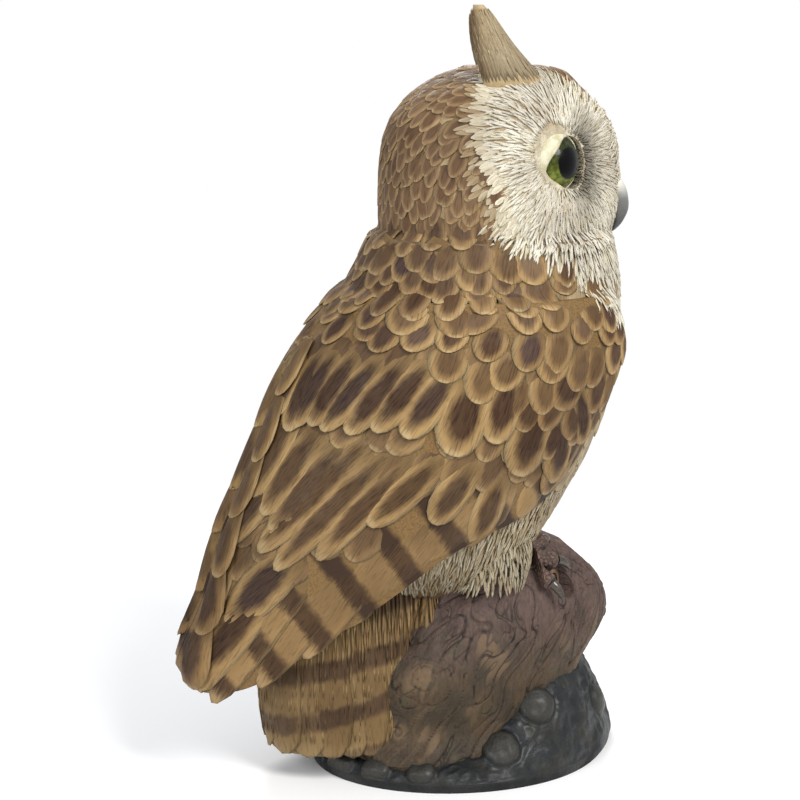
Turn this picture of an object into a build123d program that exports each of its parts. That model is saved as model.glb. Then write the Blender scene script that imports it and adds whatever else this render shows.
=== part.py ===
from build123d import *
import os
from math import copysign, cos, exp, hypot, pi, radians, sin, tan

os.makedirs("parts", exist_ok=True)

# Owl figurine on a stump and rock base. Millimetres, +Z up, origin on the ground inside the
# resting rim. The owl's body faces -Y, its left side is +X, and its head turns to its right.

# ------------------------------------------------------------------ driving dimensions
glue_gap = 0.15            # adhesive line between resin castings
fit_gap = 0.3              # loose fit between separate pieces
running_gap = 0.06         # radial play of turning pins
beyond = 400.0             # size of the blocks that cut a casting off
edge_margin = 6.0          # how far the wings' cutting outline reaches past the castings
edge_span = 80.0           # half width of the cutting outlines
overlap = 0.1              # how far a fused piece reaches into its neighbour
ring_points = 20           # points on each curved section

base_half_width = 41.0
base_half_length = 53.5
base_centre = (1.0, 4.0)
base_notch = 0.10          # how far the near front of the oval is pulled in
base_notch_turn = 212.0
pebble_radius = 7.0
pebbles = [(2.5, -27.5, 8), (-24, -2, 5)]

torso_wall = 5.0
head_wall = 5.0
stump_wall = 5.5
wing_thickness = 6.5
wing_parting = 0.6         # gap between the two wings along the back
wing_top = 156.0
tail_thickness = 4.0

neck_height = 173.0
collar_radius = 22.0
collar_wall = 4.0
collar_height = 7.0

head_turn = 20.0
head_centre_y = -5.5

eye_radius = 8.0
eye_forward = 18.5
eye_lateral = 22.5
eye_height = 196.5
eye_splay = 34.0
eye_bulge = 4.2            # height of the glass dome
iris_thickness = 0.8

dowel_radius = 1.5
dowel_length = 12.0

sensor_height = 60.0
sensor_turn = 35.0         # how far the hole faces from -X towards -Y
sensor_axis_y = -5.6
sensor_hole_radius = 4.3
sensor_hole_depth = 13.0
sensor_recess = 4.0
sensor_radius = 2.5

plate_centre = (4.0, 3.0)
plate_half_width = 28.0
plate_half_length = 39.0
plate_bottom = 1.0
plate_thickness = 2.0
pad_thickness = 2.2
pad_rim = 3.0
plate_screws = [(-14, -16), (25, -12), (-15, 24), (24.5, 24)]
grille_pitch = 3.2
grille_hole_radius = 0.9
screw_radius = 1.25
screw_head_radius = 2.4
screw_head_height = 1.2
screw_length = 6.0

cell_radius = 5.2
cell_length = 43.3
cell_nub = 1.2
well_centre = (6.0, 12.0)
well_wall = 1.5
door_width = 26.0
door_length = 29.0
door_thickness = 1.5
hinge_pin_radius = 0.8
hinge_knuckle_radius = 1.6
knuckle_spread = 8.0
knuckle_length = 5.0
pin_seat = 2.4             # how far the hinge pin reaches into the plate at each end
spring_height = 2.6
spring_wire = 0.3

speaker_centre = (9.0, -22.5)
speaker_radius = 10.0
speaker_height = 3.6
magnet_radius = 5.4
magnet_height = 2.6
coil_radius = 3.4
coil_wall = 0.4
cone_thickness = 0.4

switch_centre = (6.0, 36.0)
switch_length = 10.0
switch_width = 4.4
switch_height = 3.6
knob_width = 2.4
knob_depth = 2.0
knob_travel = 2.5

board_width = 22.0
board_height = 28.0
board_thickness = 1.6
board_bottom = 10.0
boss_radius = 2.2
boss_length = 2.6
component_height = 5.5
board_screw_length = 5.0
board_screw_radius = 0.9
board_screw_head_radius = 1.8
board_screw_head_height = 1.1
chip_radius = 4.5
chip_height = 1.4
capacitor_radius = 2.5
contact_radius = 3.6
contact_thickness = 0.5
nub_radius = 1.9
spring_radius = 2.4
frame_wall = 0.8
sensor_flange = 0.4        # how far the sensor's flange stands out
sensor_flange_height = 1.2

# Stations of the castings: height, front y, back y, half width.
torso_stations = [
    (57, -2, 48, 17),
    (64, -8, 58, 25),
    (80, -20, 68, 35),
    (100, -32, 69, 40),
    (120, -40, 62, 43),
    (140, -42.5, 54, 43),
    (155, -43, 46, 41),
    (166, -41.5, 40, 39),
    (neck_height, -40, 37, 37.5),
]
cloak_stations = [
    (32, 20, 101, 22),
    (39, 16, 103.5, 26),
    (57, 2, 96, 33),
    (80, -16, 88.5, 41),
    (90, -24, 84, 43.5),
    (107, -36, 76.5, 46.5),
    (124, -44, 69.5, 48.5),
    (139, -47, 61.5, 49),
    (151, -45, 52, 47),
    (158, -42, 46, 43),
]
tail_stations = [
    (9, 20, 73, 19),
    (27, 15, 75.5, 20.5),
    (50, 11, 73, 21.5),
    (75, 10, 62, 22),
]
stump_stations = [
    (3, -26, 46, 27),
    (14, -27, 46, 27),
    (26, -31, 45, 28),
    (38, -38, 42, 28),
    (48, -42.5, 38, 27.5),
    (56, -40, 34, 26),
    (63, -34, 30, 22),
    (69, -26, 25, 15),
    (73, -18, 14, 6),
]
# Bulges of the stump: direction from +X in degrees, height, reach in height, size, sharpness.
stump_bulges = [
    (140, 34, 14, 0.20, 7),
    (146, 4, 12, 0.22, 9),
    (196, 6, 11, 0.12, 12),
    (40, 8, 16, 0.14, 8),
    (-28, 6, 14, 0.16, 9),
    (90, 6, 14, 0.10, 8),
]
# Stations of the base: height, share of the outline, shift in x, shift in y.
base_stations = [
    (0, 1.0, 0, 0),
    (2.5, 1.01, 0, 0),
    (5.5, 0.975, 0.5, -0.5),
    (8, 0.89, 2, -1),
    (11, 0.78, 6, -4),
    (15, 0.67, 10, -10),
    (20, 0.53, 13, -16),
    (24, 0.34, 15, -20),
]
# Stations of the head: height, reach back, reach forward, half width, roundness of the face.
head_stations = [
    (neck_height, 38.5, 34, 37, 1.7),
    (179, 39, 36, 38.5, 1.5),
    (188, 39, 37.5, 39, 1.3),
    (197, 38.5, 36.5, 38.5, 1.2),
    (206, 36.5, 34, 36.5, 1.35),
    (214, 31.5, 29, 32, 1.6),
    (220, 24, 23, 25, 1.8),
    (225, 12, 12, 13, 2),
]
# Lower edge of a wing in side view, from the wrist to the tip: y, height.
wing_edge = [
    (-37, 140),
    (-29, 122),
    (-22, 110),
    (-16, 99),
    (-4, 89.5),
    (13.5, 84),
    (29, 77),
    (41, 68),
    (56, 57),
    (70, 47),
    (85, 36.5),
    (97, 33),
]
# Front edge of the tail in side view: y, height.
tail_edge = [(20, 76), (33, 47), (44, 20), (55, 11), (62, 8)]
# Ear tuft in the head's frame: height, forward, sideways, half length, half thickness.
tuft_stations = [
    (213, 4, 19, 12, 5.5),
    (220, 3, 21, 10.5, 5),
    (228, -1.5, 23.5, 7.5, 4),
    (236, -5.5, 26, 4.8, 2.8),
    (243.5, -8.5, 28.5, 1.6, 1.1),
]
tuft_turn = 24.0
# Upper beak in the head's frame: forward, height, half width, half depth.
beak_stations = [
    (30, 193, 4.2, 3.6),
    (36, 190.5, 4.6, 4.0),
    (39.5, 186, 4.3, 3.9),
    (41, 181, 3.3, 3.2),
    (40, 176.5, 1.9, 1.9),
    (38.2, 173.2, 0.6, 0.6),
]
# Feathered right leg: height, x, y, half width, half depth.
leg_stations = [
    (49, -22, 12, 6, 7),
    (56, -20.5, 9, 9, 11),
    (66, -18.5, 5, 10.5, 13),
    (78, -17, 4, 11, 13),
]
# Plan places of the right foot's ankle and toe ends: x, y.
foot_ankle = (-19.5, -5)
ankle_plane = -10.6        # the foot meets the feathered leg on this plane
toe_ends = [(-26, -12.5), (-18.8, -17), (-11, -16)]
toe_radius = 3.0
# Share of the toe's length, share of its radius, lift.
toe_profile = [(0, 0.85, 0), (0.3, 0.8, 0.3), (0.55, 1, 0.8), (0.78, 0.8, 0.3), (1, 0.9, 0), (1.12, 0.45, 0)]
toe_seat = 5.5             # sideways distance of a toe's middle from the stump's skin
claw_length = 4.5
claw_start = 2.0           # gap between the toe's end and the claw's first ring
claw_drop = 3.0            # how far the claw's point hangs down
# Share of the claw's length and radius there.
claw_profile = [(0.0, 1.7), (0.35, 1.5), (0.7, 1.0), (1.0, 0.35)]
# Lower beak in the head's frame: forward and height of its root and tip, then rings from root to
# tip with share of the length, half width and half depth.
lower_beak_root = (31, 178.5)
lower_beak_tip = (37.2, 174.5)
lower_beak_rings = [(0, 3.4, 2.4), (0.6, 2.4, 1.6), (1, 0.5, 0.5)]
# Where the dowels start and which way they point: x, y, height.
tuft_dowel_foot = (19.5, 0, 209)
tuft_dowel_lean = (2.5, 0.5, 1.5 * dowel_length)
wing_dowel_feet = [(-17, 49, 128), (-17, 49, 104)]
wing_dowel_length = dowel_length + 2
tail_dowel_foot = (0, 50, 66)
tail_dowel_drop = 3.0

# ------------------------------------------------------------------ derived sizes
well_radius = 2 * cell_radius / 3**0.5 + cell_radius + fit_gap
cell_spread = 2 * cell_radius / 3**0.5 + fit_gap / 2
plate_top = plate_bottom + plate_thickness
pad_top = plate_top + pad_thickness
door_top = plate_bottom + door_thickness
hinge_height = plate_bottom + door_thickness / 2
hinge_y = well_centre[1] + door_length / 2
cells_bottom = door_top + spring_height + fit_gap
cells_top = cells_bottom + cell_length + cell_nub
well_top = cells_top + contact_thickness
stump_ceiling = well_top + well_wall + 2 * fit_gap
board_back = well_centre[1] - well_radius - well_wall - boss_length
board_front = board_back - board_thickness
board_top = board_bottom + board_height
sensor_out = Vector(-cos(radians(sensor_turn)), -sin(radians(sensor_turn)), 0)
head_frame = Pos(0, head_centre_y, 0) * Rot(0, 0, -head_turn)


def save(node, *pieces):
    """Write one node, a single solid or a group of like solids."""
    solids = [solid for piece in pieces for solid in piece.solids()]
    shape = solids[0] if len(solids) == 1 else Compound(children=solids)
    shape.label = node
    export_step(shape, "parts/" + node + ".step")


def largest(shape):
    """The biggest solid of a shape, without trimmed-off crumbs."""
    return max(shape.solids(), key=lambda solid: solid.volume)


def mirrored(shape):
    """The same piece for the owl's left side."""
    return mirror(shape, about=Plane.YZ)


def bar(start, end, radius):
    """Round bar between two points."""
    start, end = Vector(*start), Vector(*end)
    plane = Plane(origin=start, z_dir=end - start)
    return plane * Cylinder(radius, (end - start).length, align=(Align.CENTER, Align.CENTER, Align.MIN))


def post(x, y, low, high, radius):
    """Upright cylinder."""
    return Pos(x, y, low) * Cylinder(radius, high - low, align=(Align.CENTER, Align.CENTER, Align.MIN))


def block(x, y, low, high, width, length):
    """Upright box centred on x, y."""
    align = (Align.CENTER, Align.CENTER, Align.MIN)
    return Pos(x, y, low) * Box(width, length, high - low, align=align)


def tube(x, y, low, high, outer, inner):
    """Upright tube."""
    return post(x, y, low, high, outer) - post(x, y, low, high, inner)


def oval_loft(stations, grow=0.0, low=None, high=None):
    """Smooth body through oval stations, grown sideways, kept between two heights."""
    rings = []
    for height, front, back, half_width in stations:
        centre = (front + back) / 2
        reach = (back - front) / 2 + grow
        rings.append(Pos(0, centre, height) * Ellipse(half_width + grow, reach))
    body = loft(rings)
    if low is not None:
        body = body - block(0, 0, low - beyond, low, beyond, beyond)
    if high is not None:
        body = body - block(0, 0, high, high + beyond, beyond, beyond)
    return body


def spline_ring(points, height):
    """Flat face inside a smooth closed curve."""
    return Pos(0, 0, height) * make_face(Spline(*points, periodic=True))


def stump_ring(height, front, back, half_width):
    """Section of the stump: an oval with a smooth bulge for each root and knot."""
    points = []
    for step in range(ring_points):
        turn = 2 * pi * step / ring_points
        swell = 1.0
        for direction, level, reach, size, sharpness in stump_bulges:
            fade = exp(-(((height - level) / reach) ** 2))
            swell += size * fade * exp(sharpness * (cos(turn - radians(direction)) - 1))
        x = half_width * swell * cos(turn)
        y = (front + back) / 2 + (back - front) / 2 * swell * sin(turn)
        points.append((x, y))
    return spline_ring(points, height)


def base_ring(height, share, shift_x, shift_y):
    """Section of the rock base: an oval pulled in at its near front."""
    points = []
    for step in range(ring_points):
        turn = 2 * pi * step / ring_points
        pull = 1 - base_notch * exp(5 * (cos(turn - radians(base_notch_turn)) - 1))
        x = base_centre[0] + shift_x + base_half_width * share * pull * sin(turn)
        y = base_centre[1] + shift_y + base_half_length * share * pull * cos(turn)
        points.append((x, y))
    return spline_ring(points, height)


def head_ring(station, inset=0.0):
    """Section of the head in its own frame: round behind, flattened into two discs in front."""
    height, back, forward, half_width, roundness = station
    points = []
    for step in range(ring_points):
        turn = 2 * pi * step / ring_points
        across, along = sin(turn), cos(turn)
        power = 2 / roundness if along < 0 else 1
        reach = back if along > 0 else forward
        x = (half_width - inset) * copysign(abs(across) ** power, across)
        y = (reach - inset) * copysign(abs(along) ** power, along)
        points.append((x, y))
    return spline_ring(points, height)


# ------------------------------------------------------------------ resin castings
torso_outer = oval_loft(torso_stations)
torso_grown = oval_loft(torso_stations, grow=glue_gap)
torso_low = torso_stations[0][0]
collar = tube(0, head_centre_y, neck_height - torso_wall, neck_height + collar_height,
              collar_radius, collar_radius - collar_wall)
torso_inner = oval_loft(torso_stations, -torso_wall, torso_low + torso_wall, neck_height - torso_wall)
torso_mouth = post(0, head_centre_y, neck_height - 2 * torso_wall, neck_height + 1,
                   collar_radius - collar_wall)
torso = torso_outer - torso_inner - torso_mouth + collar

head_outer = loft([head_ring(station) for station in head_stations])
head_ceiling = head_stations[-1][0] - head_wall
head_inner = loft([head_ring(station, head_wall) for station in head_stations])
head_inner -= block(0, 0, 0, neck_height + head_wall, beyond, beyond)
head_inner -= block(0, 0, head_ceiling, beyond, beyond, beyond)
head_socket = post(0, 0, neck_height - 1, neck_height + 2 * head_wall, collar_radius + glue_gap)
head_local = head_outer - head_inner - head_socket


def eye_frame(side):
    """Place of one eye: its axis points out of the face along +Z of this frame."""
    splay = radians(eye_splay)
    outward = Vector(side * sin(splay), -cos(splay), 0)
    return Plane(origin=(side * eye_lateral, -eye_forward, eye_height), z_dir=outward)


def eye_glass(side):
    """Domed glass eye, flat at the back."""
    ball_radius = (eye_radius**2 + eye_bulge**2) / (2 * eye_bulge)
    ball = Pos(0, 0, eye_bulge - ball_radius) * Sphere(ball_radius)
    keep = Cylinder(eye_radius + 1, 2 * ball_radius, align=(Align.CENTER, Align.CENTER, Align.MIN))
    return eye_frame(side) * (ball & keep)


def iris_disc(side):
    """Painted disc glued behind the glass."""
    disc = Cylinder(eye_radius, iris_thickness, align=(Align.CENTER, Align.CENTER, Align.MAX))
    return eye_frame(side) * disc


for side, name in ((-1, "right"), (1, "left")):
    socket_depth = iris_thickness + glue_gap
    bore = Pos(0, 0, -socket_depth) * Cylinder(
        eye_radius + glue_gap, 40, align=(Align.CENTER, Align.CENTER, Align.MIN))
    backing = Pos(0, 0, -socket_depth) * Cylinder(
        eye_radius + head_wall / 2, 3, align=(Align.CENTER, Align.CENTER, Align.MAX))
    backing = (eye_frame(side) * backing) & head_outer
    head_local = head_local + backing - eye_frame(side) * bore
    save(name + "_eye_glass", head_frame * eye_glass(side))
    save(name + "_iris", head_frame * iris_disc(side))

# Ear tufts, seated on the crown over a dowel each.
tufts = {}
for side, name in ((-1, "right"), (1, "left")):
    rings = []
    for height, forward, sideways, half_length, half_thickness in tuft_stations:
        turned = Rot(0, 0, -side * tuft_turn) * Ellipse(half_thickness, half_length)
        rings.append(Pos(side * sideways, -forward, height) * turned)
    tufts[name] = largest(loft(rings) - head_outer)
tuft_dowels = []
for side, name in ((-1, "right"), (1, "left")):
    foot = Vector(side * tuft_dowel_foot[0], *tuft_dowel_foot[1:])
    top = foot + Vector(side * tuft_dowel_lean[0], *tuft_dowel_lean[1:])
    dowel = bar(foot, top, dowel_radius)
    hole = bar(foot, top, dowel_radius + glue_gap)
    head_local -= hole
    tufts[name] -= hole
    tuft_dowels.append(head_frame * dowel)
    save(name + "_ear_tuft", head_frame * tufts[name])
save("ear_tuft_dowels", *tuft_dowels)

# Beak: the hooked upper half and the small lower half under it, glued to the face.
beak_rings = []
for index, (forward, height, half_width, half_depth) in enumerate(beak_stations):
    before = beak_stations[max(index - 1, 0)]
    after = beak_stations[min(index + 1, len(beak_stations) - 1)]
    along = Vector(0, before[0] - after[0], after[1] - before[1])
    ring_plane = Plane(origin=(0, -forward, height), x_dir=(1, 0, 0), z_dir=along)
    beak_rings.append(ring_plane * Ellipse(half_width, half_depth))
upper_beak = loft(beak_rings) - head_outer
lower_start = Vector(0, -lower_beak_root[0], lower_beak_root[1])
lower_end = Vector(0, -lower_beak_tip[0], lower_beak_tip[1])
lower_axis = Plane(origin=lower_start, x_dir=(1, 0, 0), z_dir=lower_end - lower_start)
lower_length = (lower_end - lower_start).length
lower_beak = lower_axis * loft([Pos(0, 0, lower_length * share) * Ellipse(half_width, half_depth)
                                for share, half_width, half_depth in lower_beak_rings])
lower_beak = lower_beak - head_outer - loft(beak_rings)
save("upper_beak", head_frame * largest(upper_beak))
save("lower_beak", head_frame * largest(lower_beak))
save("head_shell", head_frame * largest(head_local))

# Wings: two halves of a cloak over the back, cut to their edges in side view.
low_curve = Spline(*[(y, height) for y, height in wing_edge])
tip_y, tip_height = wing_edge[-1]
wrist_y, wrist_height = wing_edge[0]
corners = [(tip_y, tip_height), (tip_y + edge_margin, tip_height + edge_margin - 1),
           (tip_y + edge_margin, wing_top), (wrist_y + edge_margin, wing_top), (wrist_y, wrist_height)]
outline = [low_curve] + [Line(start, end) for start, end in zip(corners[:-1], corners[1:])]
side_view = extrude(Plane.YZ * make_face(outline), amount=edge_span, both=True)
cloak = oval_loft(cloak_stations) - oval_loft(cloak_stations, -wing_thickness)
wings = (cloak & side_view) - torso_grown
right_wing = largest(wings - block(edge_span - wing_parting / 2, 0, 0, beyond, 2 * edge_span, beyond))
left_wing = mirrored(right_wing)

# Tail: a trough of feathers under the wing tips, hollow towards the stump.
tail_low = tail_stations[0][0]
tail_curve = Spline(*tail_edge)
tail_outline = [tail_curve, Line(tail_edge[-1], (90, tail_low - 2)), Line((90, tail_low - 2), (90, 76)),
                Line((90, 76), tail_edge[0])]
tail_view = extrude(Plane.YZ * make_face(tail_outline), amount=edge_span, both=True)
tail = oval_loft(tail_stations) - oval_loft(tail_stations, -tail_thickness)
tail = largest((tail & tail_view) - torso_grown)

# Legs and feet.
right_leg = loft([Pos(x, y, height) * Ellipse(a, b) for height, x, y, a, b in leg_stations])
right_leg = largest(right_leg - torso_grown)


def perch_point(x, y):
    """Point over the stump where a toe rests: the highest level whose grown oval holds x, y."""
    for above, below in zip(reversed(stump_stations[1:]), reversed(stump_stations[:-1])):
        for step in range(20):
            share = step / 20
            height, front, back, half_width = (
                high + (low - high) * share for high, low in zip(above, below))
            reach = (back - front) / 2 + toe_seat
            if hypot(x / (half_width + toe_seat), (y - (front + back) / 2) / reach) < 1:
                return Vector(x, y, height)
    return Vector(x, y, stump_stations[0][0])


def toe(end):
    """One toe, swelling at its knuckle and its pad, from the ankle to the root of the claw."""
    ankle, tip = perch_point(*foot_ankle), perch_point(*end)
    along = tip - ankle
    rings = []
    for share, size, lift in toe_profile:
        centre = ankle + along * share + Vector(0, 0, lift)
        rings.append(Plane(origin=centre, z_dir=along) * Circle(toe_radius * size))
    return loft(rings)


def claw(end):
    """Curved claw reaching on from one toe and down."""
    ankle, tip = perch_point(*foot_ankle), perch_point(*end)
    onward = (tip - ankle).normalized()
    rings = []
    for share, size in claw_profile:
        centre = tip + onward * (claw_start + claw_length * share) - Vector(0, 0, claw_drop * share**2)
        slope = onward - Vector(0, 0, 2 * claw_drop * share / claw_length)
        rings.append(Plane(origin=centre, z_dir=slope) * Circle(size))
    return loft(rings)


right_foot = toe(toe_ends[0]) + toe(toe_ends[1]) + toe(toe_ends[2])
right_claws = [claw(end) for end in toe_ends]
right_foot = largest(right_foot - block(0, ankle_plane + 50, 0, 200, 200, 100))
right_leg -= block(0, ankle_plane - 50, 0, perch_point(*foot_ankle).Z + 2 * toe_radius, 200, 100)

# Rock base and stump: the stump stands on the rock, and the owl is bedded into its top.
base_full = loft([base_ring(*station) for station in base_stations], ruled=True)
for x, y, height in pebbles:
    base_full += Pos(x, y, height) * Sphere(pebble_radius)
base_full -= block(0, 0, -beyond, 0, beyond, beyond)
stump_outer = loft([stump_ring(*station) for station in stump_stations])
tail = largest(tail - stump_outer)
right_leg = largest(right_leg - stump_outer)
right_foot = largest(right_foot - stump_outer - torso_grown)
right_claws = [largest(piece - stump_outer - right_foot) for piece in right_claws]
stump = stump_outer - base_full - torso_grown
stump_inner = oval_loft(stump_stations, -stump_wall, high=stump_ceiling)
well_clearance = post(*well_centre, 0, stump_ceiling, well_radius + well_wall + fit_gap)
slot_front = board_front - component_height - 2 * fit_gap
slot_back = board_back + boss_length
slot_width = board_width + 2 * well_wall
board_slot = block(well_centre[0], (slot_front + slot_back) / 2, 0, board_top + 2, slot_width,
                   slot_back - slot_front)
stump = stump - (stump_inner + well_clearance + board_slot)

# The sensor hole looks out of the front right of the stump.
sensor_axis = Axis((0, sensor_axis_y, sensor_height), sensor_out)
hits = [point for point, _ in stump_outer.find_intersection_points(sensor_axis)]
sensor_mouth = max(hits, key=lambda point: (point - Vector(0, sensor_axis_y, sensor_height)).dot(sensor_out))
sensor_plane = Plane(origin=sensor_mouth, z_dir=sensor_out)


def sensor_rod(low, high, radius):
    """Cylinder on the sensor's axis, heights measured outwards from the mouth of the hole."""
    rod = Cylinder(radius, high - low, align=(Align.CENTER, Align.CENTER, Align.MIN))
    return sensor_plane * (Pos(0, 0, low) * rod)


stump -= sensor_rod(-sensor_hole_depth, 10, sensor_hole_radius)
hole_end = sensor_mouth - sensor_out * (sensor_hole_depth - sensor_hole_radius / 2)
stump -= bar(hole_end, (well_centre[0] - 10, slot_front, stump_ceiling - 6), sensor_hole_radius / 2)
save("tree_stump", largest(stump))

flange_radius = sensor_radius + sensor_flange
flange_low = sensor_flange_height - sensor_hole_depth
sleeve_top = -sensor_recess
sleeve_outer = sensor_hole_radius - running_gap
sleeve = sensor_rod(-sensor_hole_depth, sleeve_top, sleeve_outer)
sleeve -= sensor_rod(-sensor_hole_depth, sleeve_top, flange_radius + running_gap)
save("sensor_sleeve", sleeve)
dome_level = -sensor_recess - sensor_radius * 0.4
sensor = sensor_rod(flange_low, dome_level, sensor_radius)
sensor += sensor_plane * (Pos(0, 0, dome_level) * Sphere(sensor_radius))
sensor += sensor_rod(flange_low, flange_low + sensor_flange_height, flange_radius)
save("sensor", sensor)

# Dowels that locate the wings on the back and the tail on the rump.
wing_dowels = []
for foot in wing_dowel_feet:
    back = Vector(*foot)
    dowel = bar(back, back + Vector(0, wing_dowel_length, 0), dowel_radius)
    hole = bar(back, back + Vector(0, wing_dowel_length, 0), dowel_radius + running_gap)
    right_wing -= hole
    left_wing -= mirrored(hole)
    torso -= hole
    torso -= mirrored(hole)
    wing_dowels += [dowel, mirrored(dowel)]
save("wing_dowels", *wing_dowels)
tail_foot = Vector(*tail_dowel_foot)
tail_dowel_end = tail_foot + Vector(0, dowel_length, -tail_dowel_drop)
tail_dowel = bar(tail_foot, tail_dowel_end, dowel_radius)
tail_hole = bar(tail_foot, tail_dowel_end, dowel_radius + running_gap)
torso -= tail_hole
tail -= tail_hole
save("tail_dowel", tail_dowel)
save("torso_shell", largest(torso))
save("right_wing", largest(right_wing))
save("left_wing", largest(left_wing))
save("tail_fan", largest(tail))
save("right_leg", right_leg)
save("right_foot", right_foot)
save("right_claws", *right_claws)
save("left_leg", mirrored(right_leg))
save("left_foot", mirrored(right_foot))
save("left_claws", *[mirrored(piece) for piece in right_claws])

# ------------------------------------------------------------------ base cavities
pad_width = door_width + 2 * pad_rim
pad_front = well_centre[1] - door_length / 2 - pad_rim
pad_back = hinge_y + hinge_knuckle_radius + pad_rim
pad_middle = (pad_front + pad_back) / 2
pad_length = pad_back - pad_front
speaker_low = plate_top
speaker_top = speaker_low + speaker_height
magnet_top = speaker_top + magnet_height - 1.0
switch_top = plate_top + switch_height

plate_oval = Pos(plate_centre[0], plate_centre[1], 0) * Ellipse(plate_half_width, plate_half_length)
recess_oval = Pos(plate_centre[0], plate_centre[1], 0) * Ellipse(
    plate_half_width + fit_gap, plate_half_length + fit_gap)
base = base_full - extrude(recess_oval, plate_top)
base -= block(well_centre[0], pad_middle, 0, pad_top + fit_gap, pad_width + 2 * fit_gap,
              pad_length + 2 * fit_gap)
base -= well_clearance
base -= board_slot
base -= post(*speaker_centre, 0, magnet_top + fit_gap, speaker_radius + fit_gap)
base -= block(*switch_centre, 0, switch_top + fit_gap, switch_length + 2 * fit_gap,
              switch_width + 2 * fit_gap)
base -= block(well_centre[0], (well_centre[1] + switch_centre[1]) / 2, 0, switch_top, 6,
              switch_centre[1] - well_centre[1])
screw_seat = plate_bottom + screw_head_height - 0.2
screw_tip = screw_seat + screw_length
for x, y in plate_screws:
    base -= post(x, y, 0, screw_tip + fit_gap, screw_radius + running_gap)
save("rock_base", largest(base))

# ------------------------------------------------------------------ base plate and battery door
plate = Pos(0, 0, plate_bottom) * extrude(plate_oval, plate_thickness)
plate += block(well_centre[0], pad_middle, plate_bottom, pad_top, pad_width, pad_length)
plate += post(*well_centre, door_top + fit_gap, well_top + well_wall, well_radius + well_wall)
boss_heights = (board_bottom + 4, board_top - 5)
for height in boss_heights:
    plate += bar((well_centre[0], board_back, height), (well_centre[0], well_centre[1], height),
                 boss_radius)
plate -= post(*well_centre, 0, well_top, well_radius)
door_front = well_centre[1] - door_length / 2
plate -= block(well_centre[0], (door_front - fit_gap + hinge_y) / 2, 0, door_top + fit_gap,
               door_width + 2 * fit_gap, hinge_y - door_front + fit_gap)
hinge_left = well_centre[0] - door_width / 2
hinge_right = well_centre[0] + door_width / 2
plate -= bar((hinge_left - fit_gap, hinge_y, hinge_height), (hinge_right + fit_gap, hinge_y, hinge_height),
             hinge_knuckle_radius + fit_gap)
pin_ends = [(hinge_left - pin_seat, hinge_y, hinge_height), (hinge_right + pin_seat, hinge_y, hinge_height)]
plate -= bar(*pin_ends, hinge_pin_radius)
finger_notch = post(well_centre[0], door_front - 1, 0, plate_bottom + 1, 5)
plate -= finger_notch
for ring, count in ((0, 1), (1, 6), (2, 12)):
    for step in range(count):
        turn = 2 * pi * step / count
        x = speaker_centre[0] + ring * grille_pitch * cos(turn)
        y = speaker_centre[1] + ring * grille_pitch * sin(turn)
        plate -= post(x, y, 0, plate_top + 1, grille_hole_radius)
slot_length = knob_width + knob_travel + 2 * fit_gap
plate -= block(*switch_centre, 0, plate_top + 1, slot_length, knob_depth + 2 * fit_gap)
for x, y in plate_screws:
    plate -= post(x, y, 0, screw_seat, screw_head_radius + fit_gap)
    plate -= post(x, y, 0, plate_top + 1, screw_radius + fit_gap / 2)
for height in boss_heights:
    plate -= bar((well_centre[0], board_front - 1, height),
                 (well_centre[0], board_front + board_screw_length, height),
                 board_screw_radius + running_gap)
save("base_plate", largest(plate))
save("hinge_pin", bar(*pin_ends, hinge_pin_radius))
screws = []
for x, y in plate_screws:
    screw = post(x, y, screw_seat - screw_head_height, screw_seat, screw_head_radius)
    screw += post(x, y, screw_seat - overlap, screw_tip, screw_radius)
    screw -= block(x, y, screw_seat - screw_head_height, screw_seat - screw_head_height / 2, 3.2, 0.7)
    screws.append(screw)
save("base_plate_screws", *screws)

door = block(well_centre[0], (door_front + hinge_y) / 2, plate_bottom, door_top, door_width,
             hinge_y - door_front)
for x in (well_centre[0] - knuckle_spread, well_centre[0] + knuckle_spread):
    door += bar((x - knuckle_length / 2, hinge_y, hinge_height),
                (x + knuckle_length / 2, hinge_y, hinge_height), hinge_knuckle_radius)
door -= block(well_centre[0], hinge_y, plate_bottom - 1, door_top + 1,
              2 * knuckle_spread - knuckle_length, 2 * hinge_knuckle_radius + 2 * fit_gap)
door -= bar((hinge_left - 1, hinge_y, hinge_height), (hinge_right + 1, hinge_y, hinge_height),
            hinge_pin_radius + running_gap)
for rib in range(3):
    door -= block(well_centre[0], door_front + 3 + 2 * rib, plate_bottom - 1, plate_bottom + 0.4, 12, 0.8)
save("battery_door", largest(door))

springs, contacts = [], []
for index in range(3):
    turn = 2 * pi * index / 3 + pi / 6
    x = well_centre[0] + cell_spread * cos(turn)
    y = well_centre[1] + cell_spread * sin(turn)
    coil_path = Pos(x, y, door_top + spring_wire) * Helix(
        pitch=(spring_height - 2 * spring_wire) / 2, height=spring_height - 2 * spring_wire, radius=spring_radius)
    springs.append(sweep(Plane(origin=coil_path @ 0, z_dir=coil_path % 0) * Circle(spring_wire),
                         path=coil_path, is_frenet=True))
    cell = post(x, y, cells_bottom, cells_bottom + cell_length, cell_radius)
    cell += post(x, y, cells_bottom + cell_length - overlap, cells_top, nub_radius)
    save("battery_cell_" + str(index + 1), cell)
    contacts.append(post(x, y, cells_top, cells_top + contact_thickness, contact_radius))
save("door_springs", *springs)
save("upper_contacts", *contacts)

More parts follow.
